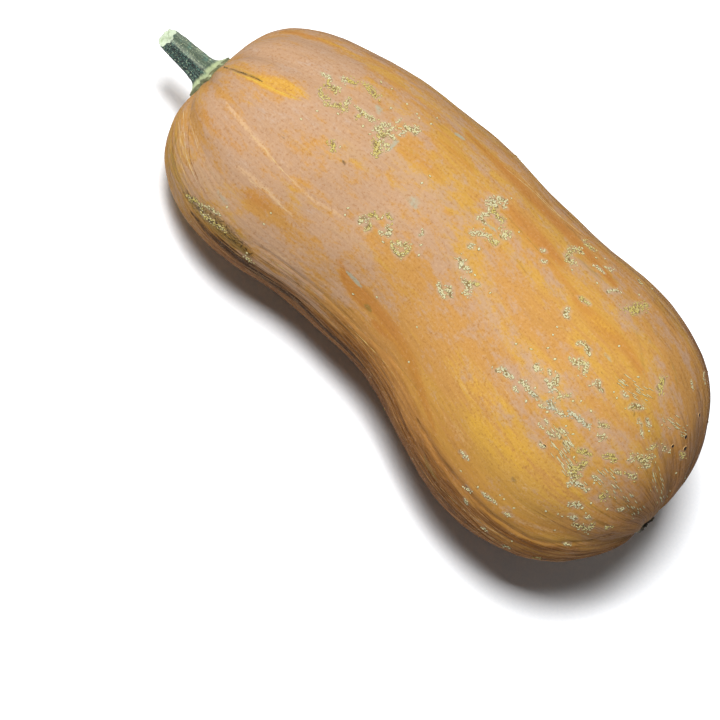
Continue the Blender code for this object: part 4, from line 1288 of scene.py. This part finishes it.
class SQUASH_OT_cork(bpy.types.Operator):
    """Sets the corky flecks and pits on the rind"""

    bl_idname = "squash.cork"
    bl_label = "Cork Flecks"

    def execute(self, context):
        settings = context.scene.squash_cork
        draw = np.random.default_rng(CORK_SEED)
        tree = rind_tree()
        beads = self.trail_beads(tree, draw) + self.striae_beads(tree, draw) + self.hidden_beads(tree, draw)
        points, faces, flecks = self.bead_mesh(beads, settings.height, draw)
        obj = link_mesh("cork_flecks", points, faces, cork_material(settings))
        store(obj, "fleck", flecks)
        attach(obj, "root")
        self.sink_pits(tree, draw)
        return {"FINISHED"}

    def bead_at(self, tree, pixel, toward, size, tone, draw):
        """A bead on the skin at a pixel: its place, normal, direction, half length, half width and tone."""
        hit = skin_at(tree, pixel)
        ahead = skin_at(tree, (pixel[0] + toward[0], pixel[1] + toward[1]))
        if hit is None or ahead is None:
            return []
        length, width = size
        return [(hit[0], hit[1], ahead[0] - hit[0], length, width, tone + draw.normal(0.0, TONE_SPREAD))]

    def trail_beads(self, tree, draw):
        """Beads strung along the trails, closer along a wide one, and single beads."""
        found = []
        for tone, width, path in TRAILS:
            travelled = sum(math.dist(a, b) for a, b in zip(path, path[1:]))
            for pixel in along_pixels(path, BEAD_GAP * COMMON_TRAIL / (width + TRAIL_MARGIN)):
                shift = draw.normal(0.0, width * TRAIL_STRAY, 2)
                ahead = np.subtract(path[-1], path[0]) / max(travelled, 1.0)
                swing = draw.normal(0.0, BEAD_SWING)
                toward = (ahead[0] * math.cos(swing) - ahead[1] * math.sin(swing) + LEAST_STEP,
                          ahead[0] * math.sin(swing) + ahead[1] * math.cos(swing))
                size = draw.uniform(*BEAD_LENGTH) * MM, draw.uniform(*BEAD_WIDTH) * MM
                found += self.bead_at(tree, (pixel[0] + shift[0], pixel[1] + shift[1]), toward, size, tone,
                                      draw)
        for pixel in BEADS:
            turn = draw.uniform(0.0, math.pi)
            size = draw.uniform(*SINGLE_LENGTH) * MM, draw.uniform(*SINGLE_WIDTH) * MM
            toward = math.cos(turn), math.sin(turn)
            found += self.bead_at(tree, pixel, toward, size, SINGLE_TONE, draw)
        return found

    def striae_beads(self, tree, draw):
        """Long thin flecks that lie side by side along the fruit."""
        found = []
        for start, end, count in STRIAE:
            run = np.subtract(end, start)
            side = np.array((-run[1], run[0])) / np.linalg.norm(run)
            for _ in range(count * STRIA_CROWD):
                pixel = np.array(start) + run * draw.uniform() + side * draw.normal(0.0, STRIA_STRAY * count)
                size = draw.uniform(*STRIA_LENGTH) * MM, draw.uniform(*STRIA_WIDTH) * MM
                found += self.bead_at(tree, pixel, run / np.linalg.norm(run), size, STRIA_TONE, draw)
        return found

    def hidden_beads(self, tree, draw):
        """Clusters and single beads over the parts of the skin that the photograph doesn't show."""
        _, _, back = camera_axes()
        found = []
        for index in range(HIDDEN_CLUSTERS + HIDDEN_BEADS):
            station = draw.uniform(*HIDDEN_SPAN)
            turn = draw.uniform(0.0, 2 * math.pi)
            start = Vector(FRUIT_MIDDLE) + Vector((station, 0.0, 0.0))
            place, normal, _, _ = tree.ray_cast(start, Vector((0.0, math.cos(turn), math.sin(turn))))
            if place is None or normal.dot(back) > HIDDEN_FACING or place.z < HIDDEN_CLEARANCE:
                continue
            side = normal.orthogonal().normalized()
            other = normal.cross(side)
            count = int(draw.integers(*HIDDEN_COUNT)) if index < HIDDEN_CLUSTERS else 1
            tone = draw.uniform(*HIDDEN_TONES)
            heading = draw.uniform(0.0, 2 * math.pi)
            spot = Vector((0.0, 0.0))
            for _ in range(count):
                heading += draw.normal(0.0, BEAD_SWING)
                spot = spot + Vector((math.cos(heading), math.sin(heading))) * HIDDEN_STEP * MM
                stray = Vector(draw.normal(0.0, HIDDEN_STRAY, 2)) * MM + spot
                aim = place + side * stray.x + other * stray.y + normal * HIDDEN_AIM * MM
                seat, facing, _, _ = tree.ray_cast(aim, -normal)
                if seat is None:
                    continue
                swing = heading + draw.normal(0.0, BEAD_SWING)
                along = side * math.cos(swing) + other * math.sin(swing)
                found.append((seat, facing, along, draw.uniform(*BEAD_LENGTH) * MM,
                              draw.uniform(*BEAD_WIDTH) * MM, tone + draw.normal(0.0, TONE_SPREAD)))
        return found

    def bead_mesh(self, beads, height, draw):
        """One mesh of all the beads: ragged closed domes on flat beds, partly painted shade, their feet in
        the skin.
        """
        turn = np.arange(BEAD_SIDES) * 2 * math.pi / BEAD_SIDES
        points, faces, flecks = [], [], []
        for place, normal, along, length, width, tone in beads:
            along = (along - normal * along.dot(normal)).normalized()
            axes = np.array((along * length, normal.cross(along) * width, normal * height))
            ragged = 1.0 + draw.uniform(-RAGGEDNESS, RAGGEDNESS, BEAD_SIDES)
            lift = draw.uniform(*BEAD_LIFT)
            shade = draw.uniform(0.0, 1.0)
            faces += domed_faces(len(points), len(BEAD_RINGS), BEAD_SIDES)
            for share, rise in BEAD_RINGS:
                for angle, reach in zip(turn, ragged):
                    local = (share * reach * math.cos(angle), share * reach * math.sin(angle), rise * lift)
                    points.append(np.array(place) + local @ axes)
                    flecks.append((tone, rise, shade))
            points.append(np.array(place) + axes[2] * lift)
            flecks.append((tone, 1.0, shade))
            points.append(np.array(place) - axes[2] * BEAD_ROOT)
            flecks.append((tone, 0.0, shade))
        return points, faces, flecks

    def sink_pits(self, tree, draw):
        """Small pits: a low lip round a dark hollow, darkened partly as painted shade."""
        points, faces, lips = [], [], []
        for x, y, radius in PITS:
            place, normal = skin_at(tree, (x, y))
            side = normal.orthogonal().normalized()
            other = normal.cross(side)
            ragged = 1.0 + draw.uniform(-PIT_RAGGEDNESS, PIT_RAGGEDNESS, PIT_SIDES)
            faces += domed_faces(len(points), len(PIT_RINGS), PIT_SIDES)
            for share, rise, lip in PIT_RINGS:
                for step in range(PIT_SIDES):
                    turn = 2 * math.pi * step / PIT_SIDES
                    reach = share * ragged[step] * radius * MM
                    points.append(place + side * math.cos(turn) * reach + other * math.sin(turn) * reach
                                  + normal * rise * MM)
                    lips.append(lip)
            points += [place + normal * PIT_FLOOR * MM, place - normal * PIT_ROOT * MM]
            lips += [0.0, 1.0]
        obj = link_mesh("pits", points, faces, pit_material())
        store(obj, "lip", lips)
        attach(obj, "root")


class SQUASH_OT_seams(bpy.types.Operator):
    """Lays the fine seams and veins on the rind"""

    bl_idname = "squash.seams"
    bl_label = "Seams"

    def execute(self, context):
        draw = np.random.default_rng(SEAM_SEED)
        tree = rind_tree()
        points, faces, tones = [], [], []
        for tone, width, path in SEAMS:
            pixels = np.array(along_pixels(path, SEAM_STEP), dtype=float)
            for _ in range(SEAM_SMOOTHINGS):
                pixels[1:-1] = (pixels[:-2] + 2.0 * pixels[1:-1] + pixels[2:]) / 4.0
            seats = [skin_at(tree, pixel) for pixel in pixels]
            seats = [seat for seat in seats if seat is not None]
            sections = self.sections(seats, width, draw.uniform(0.0, SEAM_PHASES))
            first, count = len(points), len(SEAM_SECTION)
            last = first + (len(sections) - 1) * count
            for section in sections:
                points += section
            tones += [tone] * (len(sections) * count)
            faces.append(tuple(range(first, first + count)))
            faces.append(tuple(reversed(range(last, last + count))))
            for start in range(first, last, count):
                for side in range(count):
                    beside = (side + 1) % count
                    faces.append((start + side, start + count + side, start + count + beside,
                                  start + beside))
        obj = link_mesh("seams", points, faces, seam_material())
        store(obj, "tone", tones)
        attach(obj, "root")
        return {"FINISHED"}

    def sections(self, seats, width, phase):
        """Cross sections of one seam, which swells and thins along its way and tapers to both ends."""
        found = []
        thinnest, middle, wander, widest = SEAM_SWELLS
        for index, (place, normal) in enumerate(seats):
            before, after = seats[max(index - 1, 0)][0], seats[min(index + 1, len(seats) - 1)][0]
            side = normal.cross(after - before).normalized()
            taper = math.sin(math.pi * (index + 0.5) / len(seats)) ** 0.5
            swell = middle + wander * noise.noise((index * SEAM_WANDER, phase, 0.0))
            half = width * taper * min(max(swell, thinnest), widest) / 2.0
            found.append([place + side * share * half + normal * rise * MM for share, rise in SEAM_SECTION])
        return found


def seat_of(tree, pole, offset, direction):
    """The point of the fruit that a ray along the chord meets, at an offset from the pole."""
    return tree.ray_cast(pole + offset - direction * RAY_START, direction)[0]


def poles_of(pose):
    """The fruit's two ends where it lies."""
    stations, _ = even_stations(SOLID_RINGS)
    ends = smooth_fruit(stations[[0, -1]][:, None], np.array([[0.0]]))
    return [Vector(point[0]) for point in lay_down(ends, pose)]


def facing_at(across, upward, angle):
    """The direction square to the chord at an angle round it."""
    return across * math.cos(math.radians(angle)) + upward * math.sin(math.radians(angle))


def roughness(place, waves):
    """A rough surface's height at a place: noise waves, each with a size and a height."""
    return sum(noise.noise(place / size) * height for size, height in waves)


class SQUASH_OT_stem(bpy.types.Operator):
    """Builds the ridged stem with its lobed foot and its ragged cut"""

    bl_idname = "squash.stem"
    bl_label = "Stem"

    def execute(self, context):
        settings = context.scene.squash_stem
        pose = lying_pose()
        along, across, upward = (Vector(axis) for axis in chord_axes(pose[0]))
        tree = rind_tree()
        pole = seat_of(tree, poles_of(pose)[0], Vector(), along)
        sides, rings = settings.sides, settings.rings
        angles = np.arange(sides) * 360.0 / sides
        facings = [facing_at(across, upward, angle) for angle in angles]
        slant = facing_at(across, upward, STEM_CUT_ANGLE)
        foot = self.outline(0.0, angles)
        edge = [seat_of(tree, pole, facing * float(reach), along) for facing, reach in zip(facings, foot)]
        grid = [[pole + along * STEM_CORE_DEPTH] * sides, [seat + along * STEM_SKIRT_DEPTH for seat in edge]]
        parts = [[(0.0, 0.0, 0.0)] * sides, [(0.0, 0.0, 0.5)] * sides]
        grain = [[(0.0, 0.0, 0.0)] * sides, [self.grain_at(angle, 0.0) for angle in angles]]
        for share in (np.arange(rings + 1) / rings) ** STEM_RING_CROWDING:
            middle = pole + across * STEM_CURVE * share**2
            outline = self.outline(share, angles)
            ring, ring_parts = [], []
            for angle, facing, radius, widest, below in zip(angles, facings, outline, foot, edge):
                crest = 0.5 + 0.5 * math.cos(math.radians(STEM_RIDGES * (angle - STEM_RIDGE_ANGLE)))
                jag = self.jag(angle) * smooth_step(STEM_JAG_START, 1.0, share)
                rise = share * STEM_LENGTH + STEM_CUT_SLOPE * share**2 * radius * facing.dot(slant) + jag
                sag = (below - pole).dot(along) * (radius / widest) ** 2 * (1.0 - share)
                place = middle + facing * float(radius) - along * float(FOOT_EDGE + rise - sag)
                ring.append(place + facing * roughness(place, BARK_WAVES) * MM)
                ring_parts.append((share, 0.0 if share < 1.0 else CUT_RIM, crest))
            grid.append(ring)
            parts.append(ring_parts)
            grain.append([self.grain_at(angle, share) for angle in angles])
        top = grid[-1]
        centre = sum(top, Vector()) / len(top)
        for share in CUT_RINGS:
            ring = []
            for point in top:
                spread = centre + (point - centre) * share
                crumb = roughness(spread, CUT_WAVES) * MM * min(1.0, (1.0 - share) * CUT_CRUMB_RISE)
                ring.append(spread + along * (STEM_CUT_HOLLOW * (1.0 - share**2) + crumb))
            grid.append(ring)
            parts.append([(1.0, 1.0 if share < CUT_EDGE_SHARE else CUT_EDGE, 0.5)] * sides)
            grain.append(grain[-1])
        values = np.array([[tuple(point) for point in ring] for ring in grid])
        faces = grid_faces(len(grid) - 1, sides)
        obj = link_mesh("stem_bark", flat_grid(values), faces, stem_material(settings))
        obj.data.flip_normals()
        store(obj, "stem_parts", flat_grid(np.array(parts)))
        store(obj, "lengthwise", flat_grid(np.array(grain)))
        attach(obj, "root")
        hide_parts("stem")
        return {"FINISHED"}

    def grain_at(self, angle, share):
        """A place on the unrolled bark, for patterns that run up the stem."""
        turn = math.radians(angle)
        return math.cos(turn) * STEM_RADIUS, math.sin(turn) * STEM_RADIUS, share * STEM_LENGTH

    def outline(self, share, angle):
        """The stem's radius at a share of its length: five ridges, finer ribs between and a lobed foot."""
        column = STEM_RADIUS + (STEM_TIP_RADIUS - STEM_RADIUS) * share**2
        spread = (STEM_FOOT_RADIUS - STEM_RADIUS) * math.exp(-share * STEM_LENGTH / STEM_FLARE)
        lobes = np.cos(np.radians(STEM_RIDGES * (angle - STEM_RIDGE_ANGLE)))
        fine = sum(height * np.cos(np.radians(count * angle + phase + turn * share))
                   for height, count, phase, turn in STEM_RIBS)
        ridge = STEM_RIDGE_SHARE * column + STEM_FOOT_LOBE_SHARE * spread
        height, count, phase = FOOT_CRINKLE
        crinkle = height * spread * np.cos(np.radians(count * angle + phase))
        return column * (1.0 + fine) + spread + ridge * lobes + crinkle

    def jag(self, angle):
        """How far the torn rim of the cut stands out of its plane at an angle."""
        turn = math.radians(angle)
        height, reach, level = CUT_JAG
        torn = noise.noise(Vector((math.cos(turn) * reach, math.sin(turn) * reach, level))) * height
        splinter = noise.noise(Vector((angle / SPLINTER_WIDTH, *SPLINTER_PLACE))) * SPLINTER_HEIGHT
        return torn + splinter


class SQUASH_OT_scar(bpy.types.Operator):
    """Builds the withered blossom scar"""

    bl_idname = "squash.scar"
    bl_label = "Blossom Scar"

    def execute(self, context):
        settings = context.scene.squash_scar
        pose = lying_pose()
        along, across, upward = (Vector(axis) for axis in chord_axes(pose[0]))
        tree = rind_tree()
        pole = poles_of(pose)[1]
        sides = settings.sides
        grid = []
        for share, height in SCAR_PROFILE:
            ring = []
            for angle in np.arange(sides) * 360.0 / sides:
                facing = facing_at(across, upward, angle)
                lobes = 1.0 + SCAR_LOBE_SHARE * math.cos(math.radians(SCAR_LOBES * angle))
                seat = seat_of(tree, pole, facing * SCAR_RADIUS * lobes * share, -along)
                place = seat + along * height * SCAR_HEIGHT
                crumble = roughness(place, SCAR_WAVES) * MM * (height > 0.0) * min(1.0, share * 4)
                ring.append(place + (along + facing * SCAR_SPLAY) * crumble)
            grid.append(ring)
        values = np.array([[tuple(point) for point in ring] for ring in grid])
        faces = grid_faces(len(grid) - 1, sides)
        obj = link_mesh("scar_cork", flat_grid(values), faces, scar_material(settings))
        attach(obj, "root")
        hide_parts("blossom_scar")
        return {"FINISHED"}


class SQUASH_OT_stage(bpy.types.Operator):
    """Sets the camera, the white floor and the soft studio light"""

    bl_idname = "squash.stage"
    bl_label = "Stage"

    def execute(self, context):
        settings = context.scene.squash_stage
        right, up, back = camera_axes()
        lens = bpy.data.cameras.new("camera")
        lens.sensor_width = SENSOR_WIDTH
        lens.lens = SENSOR_WIDTH * FOCAL_PIXELS / PHOTO_SIZE
        camera = bpy.data.objects.new("camera", lens)
        turned = Matrix((right, up, back)).transposed().to_4x4()
        camera.matrix_world = Matrix.Translation(CAMERA_EYE) @ turned
        context.scene.collection.objects.link(camera)
        context.scene.camera = camera
        corners = [(FLOOR_REACH * x, FLOOR_REACH * y, 0.0) for x, y in ((-1, -1), (1, -1), (1, 1), (-1, 1))]
        floor = link_mesh("floor", corners, [(0, 1, 2, 3)], floor_material())
        self.light(context, "key", KEY_PLACE, KEY_SIZE, settings.key_power)
        world = context.scene.world or bpy.data.worlds.new("studio")
        context.scene.world = world
        world.use_nodes = True
        sky = world.node_tree.nodes["Background"]
        sky.inputs["Color"].default_value = linear("#FFFFFF")
        sky.inputs["Strength"].default_value = settings.sky
        context.scene.view_settings.view_transform = "Standard"
        return {"FINISHED"}

    def light(self, context, name, place, size, power):
        """A square soft light at a place, aimed at the fruit."""
        data = bpy.data.lights.new(name, "AREA")
        data.size = size
        data.energy = power
        lamp = bpy.data.objects.new(name, data)
        lamp.location = place
        lamp.rotation_euler = (Vector(FRUIT_MIDDLE) - Vector(place)).to_track_quat("-Z", "Y").to_euler()
        context.scene.collection.objects.link(lamp)


class SQUASH_PT_panel(bpy.types.Panel):
    """Lists the pieces of the squash and their settings"""

    bl_idname = "SQUASH_PT_panel"
    bl_label = "Butternut Squash"
    bl_space_type = "VIEW_3D"
    bl_region_type = "UI"
    bl_category = "Squash"

    def draw(self, context):
        for operator, group in STEPS:
            box = self.layout.box()
            box.operator(operator.bl_idname)
            if group is not None:
                settings = getattr(context.scene, group)
                for name in settings.__annotations__:
                    box.prop(settings, name)


GROUPS = {
    "squash_rind": RindSettings,
    "squash_cork": CorkSettings,
    "squash_stem": StemSettings,
    "squash_scar": ScarSettings,
    "squash_stage": StageSettings,
}
STEPS = (
    (SQUASH_OT_stage, "squash_stage"),
    (SQUASH_OT_rind, "squash_rind"),
    (SQUASH_OT_cork, "squash_cork"),
    (SQUASH_OT_seams, None),
    (SQUASH_OT_stem, "squash_stem"),
    (SQUASH_OT_scar, "squash_scar"),
)


def register():
    """Registers the settings, the operators and the panel."""
    for name, group in GROUPS.items():
        bpy.utils.register_class(group)
        setattr(bpy.types.Scene, name, PointerProperty(type=group))
    for operator, _ in STEPS:
        bpy.utils.register_class(operator)
    bpy.utils.register_class(SQUASH_PT_panel)


def unregister():
    """Takes back what register does."""
    bpy.utils.unregister_class(SQUASH_PT_panel)
    for operator, _ in reversed(STEPS):
        bpy.utils.unregister_class(operator)
    for name, group in reversed(GROUPS.items()):
        delattr(bpy.types.Scene, name)
        bpy.utils.unregister_class(group)


def main():
    """Builds every piece and the stage."""
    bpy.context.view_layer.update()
    missing = sorted(set(NODES) - set(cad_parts))
    if missing:
        raise RuntimeError(f"the frame has no {missing}, so the looks have nothing to cover")
    register()
    bpy.ops.squash.stage()
    bpy.ops.squash.rind()
    bpy.ops.squash.cork()
    bpy.ops.squash.seams()
    bpy.ops.squash.stem()
    bpy.ops.squash.scar()


if __name__ == "__main__":
    main()
